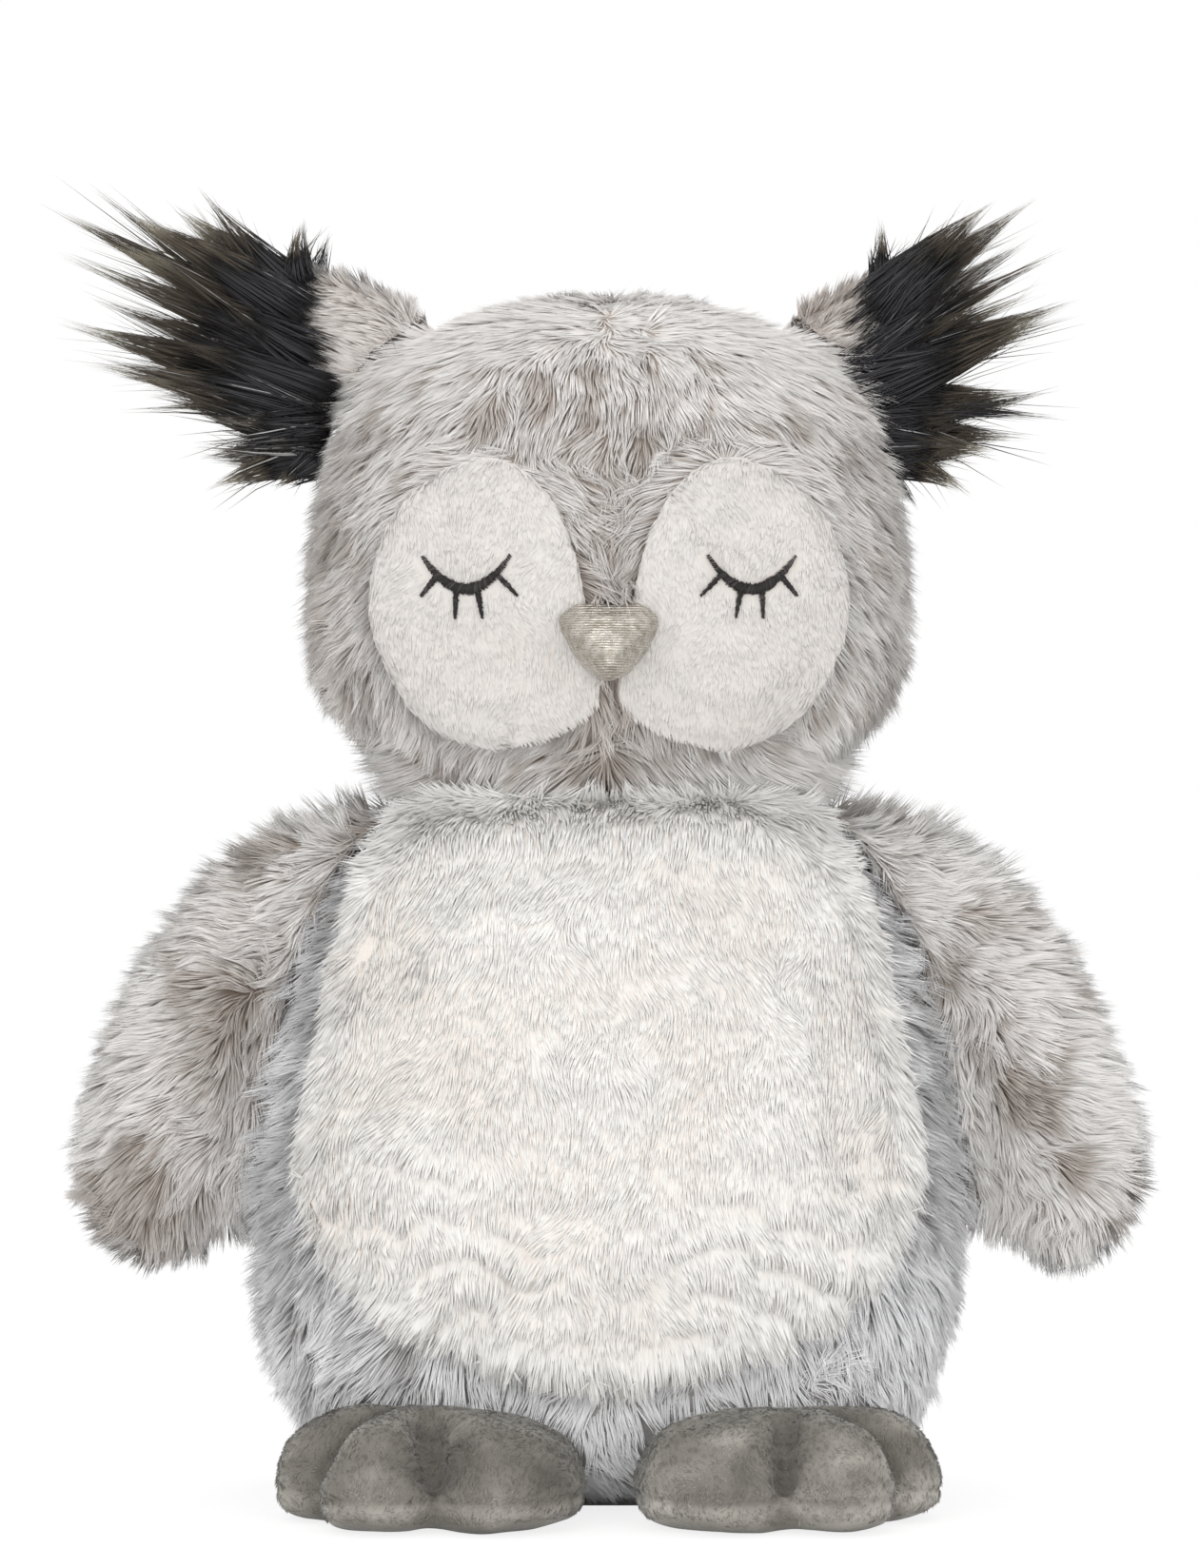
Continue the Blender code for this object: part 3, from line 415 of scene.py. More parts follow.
def drifting_comb(comb, places, kind, name=""):
    """A comb that drifts this way and that, over the whole piece and from lock to lock."""
    for part, (wavelength, strength) in zip(("comb", "locks"), COMB_DRIFTS[kind]):
        comb = comb + drift_vectors(places, wavelength, f"{kind} {part} {name}".strip()) * strength
    return comb


def flecks(places, wavelength, name):
    """Dark partings that run downwards, as a share from 0 to 1."""
    return smooth_share(drift(places, wavelength, name, (1, 1, 2.2)), 0.15, 0.85)


def mottled(places, kind, name=""):
    """The tone of grey fur, with soft drifts and dark flecks."""
    tone, (tone_wavelength, tone_strength), (fleck_wavelength, fleck_strength) = MOTTLES[kind]
    tone = tone + tone_strength * drift(places, tone_wavelength, f"{kind} tone {name}".strip())
    return tone - fleck_strength * flecks(places, fleck_wavelength, f"{kind} flecks {name}".strip())


def smooth_share(values, low, high):
    """0 up to the low value and 1 from the high one, with a soft step between them."""
    share = np.clip((values - low) / (high - low), 0, 1)
    return share * share * (3 - 2 * share)


def hump(values, width):
    """1 where a value is zero, falling off softly on both sides."""
    return np.exp(-((values / width) ** 2))


def first_of(count, keep, *fields):
    """The first rows that are kept, up to a count, of each field."""
    return [values[keep][:count] for values in fields]


# Cloth under the pile

def new_piece(name, bm):
    """A smooth-shaded object from a bmesh in world places."""
    mesh = bpy.data.meshes.new(name)
    bm.to_mesh(mesh)
    bm.free()
    mesh.shade_smooth()
    obj = bpy.data.objects.new(name, mesh)
    bpy.context.scene.collection.objects.link(obj)
    return obj


def settled(obj):
    """The object with its modifiers applied."""
    graph = bpy.context.evaluated_depsgraph_get()
    mesh = bpy.data.meshes.new_from_object(obj.evaluated_get(graph))
    obj.modifiers.clear()
    obj.data = mesh
    return obj


def solids_bmesh(nodes):
    bm = bmesh.new()
    for node_name in nodes:
        bm.from_mesh(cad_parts[node_name].data)
    return bm


def smooth_mesh(bm, rounds):
    for _ in range(rounds):
        bmesh.ops.smooth_vert(bm, verts=bm.verts, factor=0.5, use_axis_x=True, use_axis_y=True, use_axis_z=True)


def outer_cloth(name, nodes, grid, inset=0.0, against=()):
    """The outer surface of CAD solids that lie together, as one closed even mesh, drawn in by an inset.

    It is hardly drawn in where it lies against other nodes, so that no slit opens there.
    """
    bm = solids_bmesh(nodes)
    bmesh.ops.remove_doubles(bm, verts=bm.verts, dist=WELD)
    cloth = new_piece(name, bm)
    remesh = cloth.modifiers.new("Remesh", "REMESH")
    remesh.mode = "VOXEL"
    remesh.voxel_size = grid
    bm = bmesh.new()
    bm.from_mesh(settled(cloth).data)
    smooth_mesh(bm, 2)
    bm.normal_update()
    moves = [vert.normal * -inset for vert in bm.verts]
    if against:
        tree = cover_tree(against)
        for k, vert in enumerate(bm.verts):
            if tree.ray_cast(vert.co, vert.normal, AGAINST_REACH)[0] is not None:
                moves[k] *= 0.1
    for vert, move in zip(bm.verts, moves):
        vert.co += move
    if against:
        smooth_mesh(bm, 3)
    bm.to_mesh(cloth.data)
    bm.free()
    cloth.data.shade_smooth()
    return cloth


def blurred(cloth, rounds):
    """Where a cloth's points would lie on a smoother form."""
    copy = cloth.copy()
    bpy.context.scene.collection.objects.link(copy)
    smoother = copy.modifiers.new("Smooth", "SMOOTH")
    smoother.iterations = rounds
    places, _, _ = mesh_arrays(settled(copy))
    bpy.data.objects.remove(copy)
    return places


def moved_to(cloth, places):
    """Puts a cloth's points at other places."""
    cloth.data.vertices.foreach_set("co", places.astype(np.float32).ravel())
    cloth.data.update()


def cover_tree(nodes):
    """What lies over a cloth, for asking where no pile grows."""
    bm = solids_bmesh(nodes)
    tree = BVHTree.FromBMesh(bm)
    bm.free()
    return tree


def nearest_tree(places):
    """For asking which of some places is the nearest."""
    tree = kdtree.KDTree(len(places))
    for k, place in enumerate(places):
        tree.insert(place, k)
    tree.balance()
    return tree


def rows_of(items, attribute, width, kind=np.float32):
    """One attribute of all vertices, loops or triangles of a mesh, as rows of numbers."""
    values = np.empty(len(items) * width, kind)
    items.foreach_get(attribute, values)
    return values.reshape(-1, width)


def mesh_arrays(obj):
    """Places and normals of a mesh's points, and the points of each triangle."""
    mesh = obj.data
    mesh.calc_loop_triangles()
    places, normals = (rows_of(mesh.vertices, attribute, 3).astype(float) for attribute in ("co", "normal"))
    return places, normals, rows_of(mesh.loop_triangles, "vertices", 3, np.int32)


def scattered(obj, count, rng):
    """Places and outward directions spread evenly over an object's faces."""
    places, normals, faces = mesh_arrays(obj)
    corners = places[faces]
    areas = np.linalg.norm(np.cross(corners[:, 1] - corners[:, 0], corners[:, 2] - corners[:, 0]), axis=1)
    picked = faces[rng.choice(len(faces), count, p=areas / areas.sum())]
    first, second = rng.random((2, count, 1))
    over = first + second > 1
    first, second = np.where(over, 1 - first, first), np.where(over, 1 - second, second)
    shares = (1 - first - second, first, second)
    spots = sum(places[picked[:, k]] * share for k, share in enumerate(shares))
    directions = sum(normals[picked[:, k]] * share for k, share in enumerate(shares))
    return spots, unit(directions)


def uncovered(places, normals, tree, reach):
    """Which places have nothing of the tree close above them."""
    return np.array([
        tree.ray_cast(Vector(place), Vector(normal), reach)[0] is None for place, normal in zip(places, normals)
    ])


def nearness(places, nodes, near, far):
    """How near places are to some nodes, as a share: 1 up to the near distance, 0 from the far one."""
    tree = cover_tree(nodes)
    return 1 - smooth_share(np.array([tree.find_nearest(Vector(place))[3] for place in places]), near, far)


# Pile

def strand_template(rings):
    """One strand as a mesh, closed and three-sided: a root, a number of rings, and a tip.

    With no rings it is a plain spike on a flat root.
    """
    bm = bmesh.new()
    if rings:
        bmesh.ops.create_circle(bm, segments=3, radius=1.0, cap_ends=True)
        bmesh.ops.translate(bm, verts=bm.verts, vec=(0, 0, 1))
        outline = bm.edges[:]
        under = bm.faces[:]
        over = bmesh.ops.duplicate(bm, geom=bm.verts[:] + bm.edges[:] + under)["geom"]
        over = [g for g in over if isinstance(g, bmesh.types.BMFace)]
        for _ in range(1, rings):
            made = bmesh.ops.extrude_edge_only(bm, edges=outline)["geom"]
            fresh = [g for g in made if isinstance(g, bmesh.types.BMVert)]
            bmesh.ops.translate(bm, verts=fresh, vec=(0, 0, 1))
            outline = [g for g in made if isinstance(g, bmesh.types.BMEdge) and set(g.verts) <= set(fresh)]
        bmesh.ops.translate(bm, verts=over[0].verts, vec=(0, 0, rings - 1))
        for face, height in ((under[0], 0), (over[0], rings + 1)):
            bmesh.ops.poke(bm, faces=[face])["verts"][0].co = (0, 0, height)
        bmesh.ops.remove_doubles(bm, verts=bm.verts, dist=0.01)
    else:
        bmesh.ops.create_cone(bm, cap_ends=True, segments=3, radius1=1.0, radius2=0.0, depth=1.0)
        bmesh.ops.translate(bm, verts=bm.verts, vec=(0, 0, 0.5))
    bmesh.ops.triangulate(bm, faces=bm.faces)
    bmesh.ops.recalc_face_normals(bm, faces=bm.faces)
    mesh = bpy.data.meshes.new("strand")
    bm.to_mesh(mesh)
    bm.free()
    return mesh


def strands_mesh(name, strands, ground=None, softness=FUR_SOFTNESS, along=None):
    """Many strands as one mesh.

    Strands are the points along each from its root to its tip, its widths there, its flat direction and
    its tone. The UV map holds the tone and the share along the strand, or what along gives for each point.
    With the normals of the cloth under it as ground, the pile is shaded softly, as a surface that leans
    with the cloth.
    """
    stations, widths, across, tones = strands
    rings = stations.shape[1] - 2
    template = strand_template(rings)
    shape = rows_of(template.vertices, "co", 3)
    station = np.rint(shape[:, 2]).astype(int)

    piece = bpy.data.objects.new(name, template)
    bpy.context.scene.collection.objects.link(piece)
    repeat = piece.modifiers.new("Copies", "ARRAY")
    repeat.count = len(stations)
    repeat.use_relative_offset = False
    mesh = settled(piece).data
    mesh.name = name

    way = unit(stations[:, -1] - stations[:, 0])
    over = unit(np.cross(way, across))
    size = widths[:, station, None] / 2
    spread = across[:, None] * shape[None, :, :1] + over[:, None] * shape[None, :, 1:2]
    mesh.vertices.foreach_set("co", (stations[:, station] + size * spread).astype(np.float32).ravel())

    corner = rows_of(mesh.loops, "vertex_index", 1, np.int32)[:, 0]
    copy, vert = corner // len(shape), corner % len(shape)
    uv = np.stack([
        np.clip(tones[copy], 0.01, 0.98) + UV_WIDTH * shape[vert, 0],
        np.clip(station[vert] / (rings + 1) if along is None else along[copy, station[vert]], 0.002, 0.998),
    ], axis=1)
    mesh.uv_layers.new(name="OFBake").data.foreach_set("uv", uv.astype(np.float32).ravel())
    mesh.shade_smooth()
    mesh.update()
    if ground is not None:
        own = rows_of(mesh.vertices, "normal", 3)
        under = np.repeat(ground, len(shape), axis=0)
        mesh.normals_split_custom_set_from_vertices(unit(own * (1 - softness) + under * softness))
    return piece


def pile(roots, normals, comb, settings, rng, tone, length_share=1.0, lift_share=1.0, tilt=FUR_TILT):
    """Short strands over a cloth, in locks that differ in length, lift and tone, and the ground to shade them by."""
    count = len(roots)
    leaders = rng.choice(count, max(count // settings.lock_strands, 1), replace=False)
    tree = nearest_tree(roots[leaders])
    lock = np.array([tree.find(root)[1] for root in roots])

    def by_lock(spread):
        return np.clip(rng.normal(1, spread, len(leaders)), 0.4, 1.7)[lock]

    length = settings.length * length_share * by_lock(0.09) * rng.uniform(0.68, 1.15, count)
    lift = settings.lift * lift_share * by_lock(0.28) * rng.uniform(0.85, 1.15, count)
    tips = roots + (comb * np.cos(lift)[:, None] + normals * np.sin(lift)[:, None]) * length[:, None]
    tips = tips + (tips[leaders][lock] - tips) * (settings.gather * rng.uniform(0.6, 1.3, count))[:, None]
    tips[:, 2] = np.maximum(tips[:, 2], FLOOR_CLEARANCE)
    widths = np.zeros((count, 2))
    widths[:, 0] = settings.width * rng.uniform(0.75, 1.25, count)
    across = unit(np.cross(tips - roots, normals) + rng.normal(0, 0.25, (count, 3)) * length[:, None])
    tones = np.clip(tone + 0.12 * (by_lock(1.0) - 1) + rng.normal(0, 0.05, count), 0, 1)
    ground = unit(normals + rng.normal(0, tilt, (len(leaders), 3))[lock])
    return (np.stack([roots - normals * START, tips], axis=1), widths, across, tones), ground


def lay(piece, body, material, nodes=()):
    """Gives a piece its material and its body, and hides the CAD nodes that it stands for."""
    piece.data.materials.append(material)
    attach(piece, body)
    if nodes:
        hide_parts(*nodes)


def lay_pile(name, body, grown, material, softness=FUR_SOFTNESS):
    """Makes pieces from a pile, split by heading round the toy where there are many strands."""
    strands, ground = grown
    roots = strands[0][:, 0]
    heading = np.arctan2(*(roots[:, :2] - roots[:, :2].mean(axis=0)).T)
    sectors = -(-len(roots) // MOST_STRANDS)
    for k, part in enumerate(np.array_split(np.argsort(heading, kind="stable"), sectors)):
        label = name if sectors == 1 else f"{name}_{k + 1}"
        lay(strands_mesh(label, [values[part] for values in strands], ground[part], softness), body, material)


# Materials

def new_material(name, colour, roughness, metallic=0.0, sheen=0.0):
    """A material whose constants are set on the shader's own sockets."""
    material = bpy.data.materials.new(name)
    material.use_nodes = True
    shader = material.node_tree.nodes["Principled BSDF"]
    shader.inputs["Base Color"].default_value = (*colour, 1)
    shader.inputs["Roughness"].default_value = roughness
    shader.inputs["Metallic"].default_value = metallic
    shader.inputs["Specular IOR Level"].default_value = 0.25
    if sheen:
        shader.inputs["Sheen Weight"].default_value = sheen
        shader.inputs["Sheen Roughness"].default_value = 0.5
    return material


def node(material, kind, **inputs):
    """A node with inputs set by name, from values or from other nodes' outputs."""
    made = material.node_tree.nodes.new(kind)
    for name, value in inputs.items():
        socket = made.inputs[name.replace("_", " ")]
        if isinstance(value, bpy.types.NodeSocket):
            material.node_tree.links.new(value, socket)
        else:
            socket.default_value = value
    return made


def link_to_shader(material, socket_name, output):
    shader = material.node_tree.nodes["Principled BSDF"]
    material.node_tree.links.new(output, shader.inputs[socket_name])


def ramp(material, value, stops):
    """A colour ramp with its stops given as position and colour."""
    made = node(material, "ShaderNodeValToRGB", Fac=value)
    elements = made.color_ramp.elements
    while len(elements) < len(stops):
        elements.new(0.5)
    for element, (place, colour) in zip(elements, stops):
        element.position = place
        element.color = (*colour, 1)
    return made.outputs["Color"]


def mixed(material, share, first, second):
    """A colour between two others, each a colour or another node's output."""
    mix = material.node_tree.nodes.new("ShaderNodeMix")
    mix.data_type = "RGBA"
    material.node_tree.links.new(share, mix.inputs[0])
    for socket, value in zip([s for s in mix.inputs if s.type == "RGBA"], (first, second)):
        if isinstance(value, bpy.types.NodeSocket):
            material.node_tree.links.new(value, socket)
        else:
            socket.default_value = (*value, 1)
    return next(s for s in mix.outputs if s.type == "RGBA")


def object_noise(material, scale, detail=3.0, stretch=(1, 1, 1)):
    """Noise over the piece's own coordinates, which are metres."""
    place = material.node_tree.nodes.new("ShaderNodeTexCoord")
    mapping = node(material, "ShaderNodeMapping", Vector=place.outputs["Object"])
    mapping.inputs["Scale"].default_value = stretch
    noise = node(material, "ShaderNodeTexNoise", Vector=mapping.outputs["Vector"])
    noise.inputs["Scale"].default_value = scale
    noise.inputs["Detail"].default_value = detail
    return noise.outputs["Fac"]


def add_bump(material, height, distance, strength=1.0):
    bump = node(material, "ShaderNodeBump", Height=height)
    bump.inputs["Distance"].default_value = distance
    bump.inputs["Strength"].default_value = strength
    link_to_shader(material, "Normal", bump.outputs["Normal"])


def cloth_material(kind, name, dark, pale):
    """Cloth in two close colours that cloud into each other, with a fine bump."""
    roughness, sheen, clouds, (low, high), bumps, depth = CLOTHS[kind]
    material = new_material(name, pale, roughness, sheen=sheen)
    share = ramp(material, object_noise(material, *clouds), [(low, BLACK), (high, WHITE)])
    link_to_shader(material, "Base Color", mixed(material, share, dark, pale))
    add_bump(material, object_noise(material, *bumps), depth)
    return material


def backing_material(name, colour):
    """Knitted backing that shows between the strands."""
    return cloth_material("backing", name, [c * 0.8 for c in colour], colour)


def uv_parts(material):
    """Tone and share along the strand, from the strands' own UV map."""
    uv = material.node_tree.nodes.new("ShaderNodeUVMap")
    uv.uv_map = "OFBake"
    parts = node(material, "ShaderNodeSeparateXYZ", Vector=uv.outputs["UV"])
    return parts.outputs["X"], parts.outputs["Y"]


def three_tones(material, level, settings, places):
    """Colours a surface from its root colour past its middle one to its pale one, as a level rises."""
    colours = (settings.root_colour, settings.middle_colour, settings.pale_colour)
    link_to_shader(material, "Base Color", ramp(material, level, list(zip(places, colours))))


def pile_material(name, settings):
    """Dark at the root of a strand and pale at its tip. The lower its tone, the further up the dark reaches."""
    material = new_material(name, settings.pale_colour, 0.85, sheen=0.1)
    uv = material.node_tree.nodes.new("ShaderNodeUVMap")
    uv.uv_map = "OFBake"
    level = material.node_tree.nodes.new("ShaderNodeVectorMath")
    level.operation = "DOT_PRODUCT"
    level.inputs[1].default_value = (*TONE_AND_ALONG, 0)
    material.node_tree.links.new(uv.outputs["UV"], level.inputs[0])
    three_tones(material, level.outputs["Value"], settings, (0.14, 0.48, 0.82))
    return material


def tuft_material(settings):
    """Charcoal hair with a darker row across the locks, brown and then pale at its end, and a few white hairs."""
    material = new_material("tuft hair", settings.root_colour, 0.5)
    tone, along = uv_parts(material)
    root, dark, brown = settings.root_colour, settings.dark_colour, settings.brown_colour
    hair = ramp(material, along, [
        (0.0, dark), (0.10, root), (0.46, root), (0.58, dark), (0.67, brown), (0.80, brown),
        (0.92, settings.tip_colour),
    ])
    white = ramp(material, tone, [(0.90, BLACK), (0.93, WHITE)])
    link_to_shader(material, "Base Color", mixed(material, white, hair, settings.pale_colour))
    return material


def thread_material(settings):
    """Shiny thread, a little uneven from stitch to stitch, with painted highlights on some threads."""
    material = new_material("satin thread", settings.colour, 0.42)
    tone, _ = uv_parts(material)
    stops = [(place, [c * times for c in settings.colour]) for place, times in ((0, 1), (0.7, 2), (1, 7))]
    link_to_shader(material, "Base Color", ramp(material, tone, stops))
    return material


def beak_material(settings):
    """Foiled cloth: fine rows across, worn through in places, with the shine broken up."""
    material = new_material("foiled cloth", settings.pale_colour, 0.34, metallic=0.8)
    place = material.node_tree.nodes.new("ShaderNodeTexCoord")
    rows = node(material, "ShaderNodeTexWave", Vector=place.outputs["Object"])
    rows.bands_direction = "Z"
    rows.inputs["Scale"].default_value = math.pi / 10 / settings.row_pitch
    rows.inputs["Distortion"].default_value = 1.6
    rows.inputs["Detail Scale"].default_value = 1.5
    worn = ramp(material, object_noise(material, 420, 5), [(0.38, BLACK), (0.70, (0.75,) * 3)])
    link_to_shader(material, "Base Color", mixed(material, worn, settings.pale_colour, settings.dark_colour))
    gloss = ramp(material, object_noise(material, 1300, 4), [(0.35, (0.14,) * 3), (0.65, (0.46,) * 3)])
    link_to_shader(material, "Roughness", gloss)
    add_bump(material, rows.outputs["Fac"], 0.00030, 0.9)
    return material


def velour_tone_and_painted_light_material(name, settings):
    """Velour coloured by the cloth's own attribute: its tone, with painted highlights and painted shade."""
    material = new_material(name, settings.middle_colour, 0.85, sheen=0.25)
    nap_tone_and_painted_light = material.node_tree.nodes.new("ShaderNodeAttribute")
    nap_tone_and_painted_light.attribute_name = "nap_tone_and_painted_light"
    three_tones(material, nap_tone_and_painted_light.outputs["Fac"], settings, (0.0, 0.45, 1.0))
    add_bump(material, object_noise(material, 1100, 3), 0.0003)
    return material


# Pieces

def outwards_from(roots, height):
    """Directions in the front's plane, away from a point on the middle line."""
    return unit(roots * np.array((1, 0, 1)) - np.array((0, 0, height)))


def make_body(settings):
    """The body's cloth, and its fur, which leaves the belly, the feet and the neck free."""
    nodes = ["body_skin", "belly_panel", "base_panel", "body_filling"]
    against = ["head_skin", "wing_skin_left", "wing_skin_right"]
    cloth = outer_cloth("body_cloth", nodes, GRIDS["body"], settings.length * INSET_SHARES["body"], against)
    lay(cloth, "root", backing_material("body backing", settings.root_colour), ["body_skin"])
    rng = seeded("body fur")
    roots, normals = scattered(cloth, int(settings.strands * 1.5), rng)
    keep = uncovered(roots, normals, cover_tree(["belly_panel", *FEET, "base_panel"]), COVER_REACH)
    keep &= (roots[:, 2] > 0.004) & uncovered(roots, normals, cover_tree(["head_skin"]), MEETING_REACH)
    # It thins out under the belly's edge, and leaves the strip above the belly to the belly's own plush.
    keep &= nearness(roots, ["belly_panel"], 0.0015, 0.0040) < rng.uniform(0.15, 1.0, len(roots))
    belly_low, belly_high = (corner.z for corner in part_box("belly_panel"))
    keep &= (roots[:, 2] < belly_high - 0.035) | (np.abs(roots[:, 0]) > 0.058) | (roots[:, 1] > -0.01)
    roots, normals = first_of(settings.strands, keep, roots, normals)
    comb = along_cloth(drifting_comb(DOWN, roots, "body"), normals)
    # Beside the wings the pile is fuller and darker, and lower down on the toy's left it is paler. Between the feet it
    # is
    # painted much paler: painted light, for the light that the floor throws back there.
    at_side = smooth_share(np.abs(roots[:, 0]), 0.060, 0.085)
    beside_wing = at_side * smooth_share(roots[:, 2], 0.05, 0.10)
    low_down = 1 - smooth_share(roots[:, 2], 0.035, 0.075)
    pale_side = smooth_share(roots[:, 0], 0.01, 0.06) * (1 - beside_wing)
    between_feet = low_down * (1 - smooth_share(np.abs(roots[:, 0]), 0.03, 0.06))
    tone = mottled(roots, "body") - 0.20 * beside_wing + 0.62 * pale_side + 1.0 * between_feet
    # It lies low beside the belly, which laps over it.
    beside_belly = nearness(roots, ["belly_panel"], 0.003, 0.012)
    comb = along_cloth(comb + outwards_from(roots, belly_low + 0.08) * (0.9 * beside_belly)[:, None], normals)
    fuller = (1 + 0.20 * beside_wing - 0.42 * pale_side - 0.62 * between_feet) * (1 - 0.60 * beside_belly)
    length_share = (1 + 0.15 * beside_wing) * (1 - 0.30 * beside_belly)
    strands, ground = pile(roots, normals, comb, settings, rng, tone, length_share, fuller)
    # Low in front it is lit as if it faced the light, for the floor throws much light back there.
    low_front = (1 - smooth_share(roots[:, 2], 0.03, 0.08)) * (roots[:, 1] < 0)
    ground = unit(ground + low_front[:, None] * np.array((0, -0.9, 0.45)))
    lay_pile("body_fur", "root", (strands, ground), pile_material("body fur", settings))


def round_patches(roots, comb):
    """The comb of the head, led round the edges of both eye patches."""
    for low, high in PATCH_BOXES:
        middle, half = (low + high) / 2, (high - low) / 2
        out = np.stack([
            (roots[:, 0] - middle.x) / half.x, np.zeros(len(roots)), (roots[:, 2] - middle.z) / half.z,
        ], axis=1)
        near = hump(np.linalg.norm(out, axis=1) - 1, 0.26) * (roots[:, 1] < -0.02)
        way = unit(out)
        inwards = np.minimum((comb * way).sum(axis=1), 0)
        turn = np.tanh(way[:, 0] * 4) * np.clip(way[:, 2] + 0.3, 0, 1)
        round_edge = np.stack([way[:, 2], np.zeros(len(roots)), -way[:, 0]], axis=1) * turn[:, None]
        comb = comb - way * (inwards * near)[:, None] + round_edge * (0.6 * near)[:, None]
    return comb


def make_head(settings):
    """The head's cloth, and its fur, which parts at the seam, goes round the patches and hangs over the neck."""
    nodes, below = ["head_skin", "head_filling"], ["body_skin", "belly_panel"]
    against = below + EARS + PATCHES + ["beak_skin"]
    cloth = outer_cloth("head_cloth", nodes, GRIDS["head"], settings.length * INSET_SHARES["head"], against)
    lay(cloth, "root", backing_material("head backing", settings.root_colour), ["head_skin"])
    rng = seeded("head fur")
    roots, normals = scattered(cloth, int(settings.strands * 1.4), rng)
    keep = uncovered(roots, normals, cover_tree(PATCHES + ["beak_skin"]), COVER_REACH)
    keep &= uncovered(roots, normals, cover_tree(below), MEETING_REACH)
    roots, normals = first_of(settings.strands, keep, roots, normals)
    above = roots[:, 2] - NECK_HEIGHT
    sideways = np.sign(roots[:, 0])
    outward = smooth_share(np.abs(roots[:, 0]), 0.02, 0.08) * sideways
    # Over the crown the pile lies sideways, and it parts at the seam down the forehead.
    crown = smooth_share(normals[:, 2], 0.15, 0.80)
    off_seam = roots[:, 0] + 0.0050 * drift(roots, 0.03, "parting")
    parting = hump(off_seam, 0.009) * smooth_share(above, 0.108, 0.125) * (roots[:, 1] < 0.03)
    comb = DOWN + outward[:, None] * np.array((0.7, 0, 0))
    comb = comb + (crown * np.tanh(roots[:, 0] / 0.024))[:, None] * np.array((0.6, 0, 0))
    comb = comb + (parting * np.tanh(off_seam / 0.004))[:, None] * np.array((0.45, 0, 0))
    comb = round_patches(roots, drifting_comb(comb, roots, "head"))
    between = hump(roots[:, 0], 0.016) * (1 - smooth_share(above, 0.085, 0.110)) * (roots[:, 1] < 0)
    comb = comb + drift_vectors(roots, 0.011, "between") * (0.7 * between)[:, None]
    chin = 1 - smooth_share(above, 0.006, 0.024)
    sweep = np.array((0.9, 0, 0)) * (sideways * chin)[:, None] + drift_vectors(roots, 0.03, "chin") * chin[:, None]
    comb = along_cloth(comb + sweep * 1.3, normals)
    # Under the chin the pile hangs down past the cloth, over the neck.
    hanging = 1 - smooth_share(above, 0.002, 0.014)
    drop = hanging[:, None]
    outside = unit(roots * np.array((1, 1, 0)))
    comb = unit(comb * (1 - 0.5 * drop) + (outside * 0.3 + DOWN * 0.7) * drop)
    lean = unit(normals * (1 - drop) + outside * drop)
    # Just over the beak the pile stands up in a whirl.
    off_whirl = ((roots[:, 0] / 0.012) ** 2, ((roots[:, 2] - BEAK_TOP - 0.003) / 0.008) ** 2)
    whirl = np.exp(-off_whirl[0] - off_whirl[1]) * (roots[:, 1] < 0)
    cheek = smooth_share(np.abs(roots[:, 0]), 0.055, 0.085)
    tone = mottled(roots, "head") + 0.09 * chin
    tone = tone + 0.24 * smooth_share(above, 0.090, 0.130) - 0.32 * between - 0.22 * cheek
    tone = tone + cheek * np.where(roots[:, 0] < 0, -0.22, 0.06) - 0.30 * hump(off_seam, 0.005) * parting
    # Painted light: fur that faces upwards is painted paler, most of all over the crown.
    tone = tone + 0.40 * smooth_share(normals[:, 2], 0.60, 0.90)
    # It stands up where the ears are sewn on and hides the joint, and there it is painted paler: painted light against
    # the shade in the joint.
    at_ear = nearness(roots, EARS, 0.001, 0.008)
    length_share = 1 + 0.30 * hanging + 0.60 * whirl + 0.15 * at_ear
    lift_share = (1 + 0.10 * cheek + 0.30 * whirl) * (1 - 0.55 * crown) * (1 + 0.9 * at_ear)
    strands, ground = pile(roots, lean, comb, settings, rng, tone + 0.25 * at_ear, length_share, lift_share)
    # The crown is lit as if it leaned to the front.
    to_front = crown * (1 - smooth_share(roots[:, 1], 0.02, 0.06))
    ground = unit(ground - to_front[:, None] * BACK)
    lay_pile("head_fur", "root", (strands, ground), pile_material("head fur", settings))


def make_wing(name, side, settings):
    """A wing's cloth, and its fur, which runs to the tip and outwards over the outer edge."""
    body, skin = f"wing_{name}", f"wing_skin_{name}"
    nodes, inset = [skin, f"wing_filling_{name}"], settings.length * INSET_SHARES["wing"]
    cloth = outer_cloth(f"wing_cloth_{name}", nodes, GRIDS["wing"], inset, ["body_skin"])
    lay(cloth, body, backing_material("wing backing", settings.root_colour), [skin])
    rng = seeded(f"wing fur {name}")
    roots, normals = scattered(cloth, settings.strands, rng)
    from_shoulder = roots[:, ::2] * np.array((side, 1)) - SHOULDER
    down_wing, over_wing = from_shoulder @ WING_WAY, from_shoulder @ ACROSS_WING
    flow = WING_WAY + ACROSS_WING * (1.25 * smooth_share(over_wing, -0.016, 0.022) - 0.2)[:, None]
    comb = np.stack([flow[:, 0] * side, np.zeros(len(roots)), flow[:, 1]], axis=1)
    comb = along_cloth(drifting_comb(comb, roots, "wing", name), normals)
    streak = hump(over_wing - 0.003, 0.009) * smooth_share(down_wing, 0.03, 0.06)
    tone = mottled(roots, "wing", name) - 0.22 * streak + PALER[body]
    shoulder = 1 - smooth_share(down_wing, -0.005, 0.030)
    fuller = 1 + 0.15 * shoulder + 0.15 * (1 - smooth_share(over_wing, -0.030, -0.012))
    grown = pile(roots, normals, comb, settings, rng, tone, 1 + 0.12 * shoulder, fuller)
    lay_pile(f"wing_fur_{name}", body, grown, pile_material("wing fur", settings))


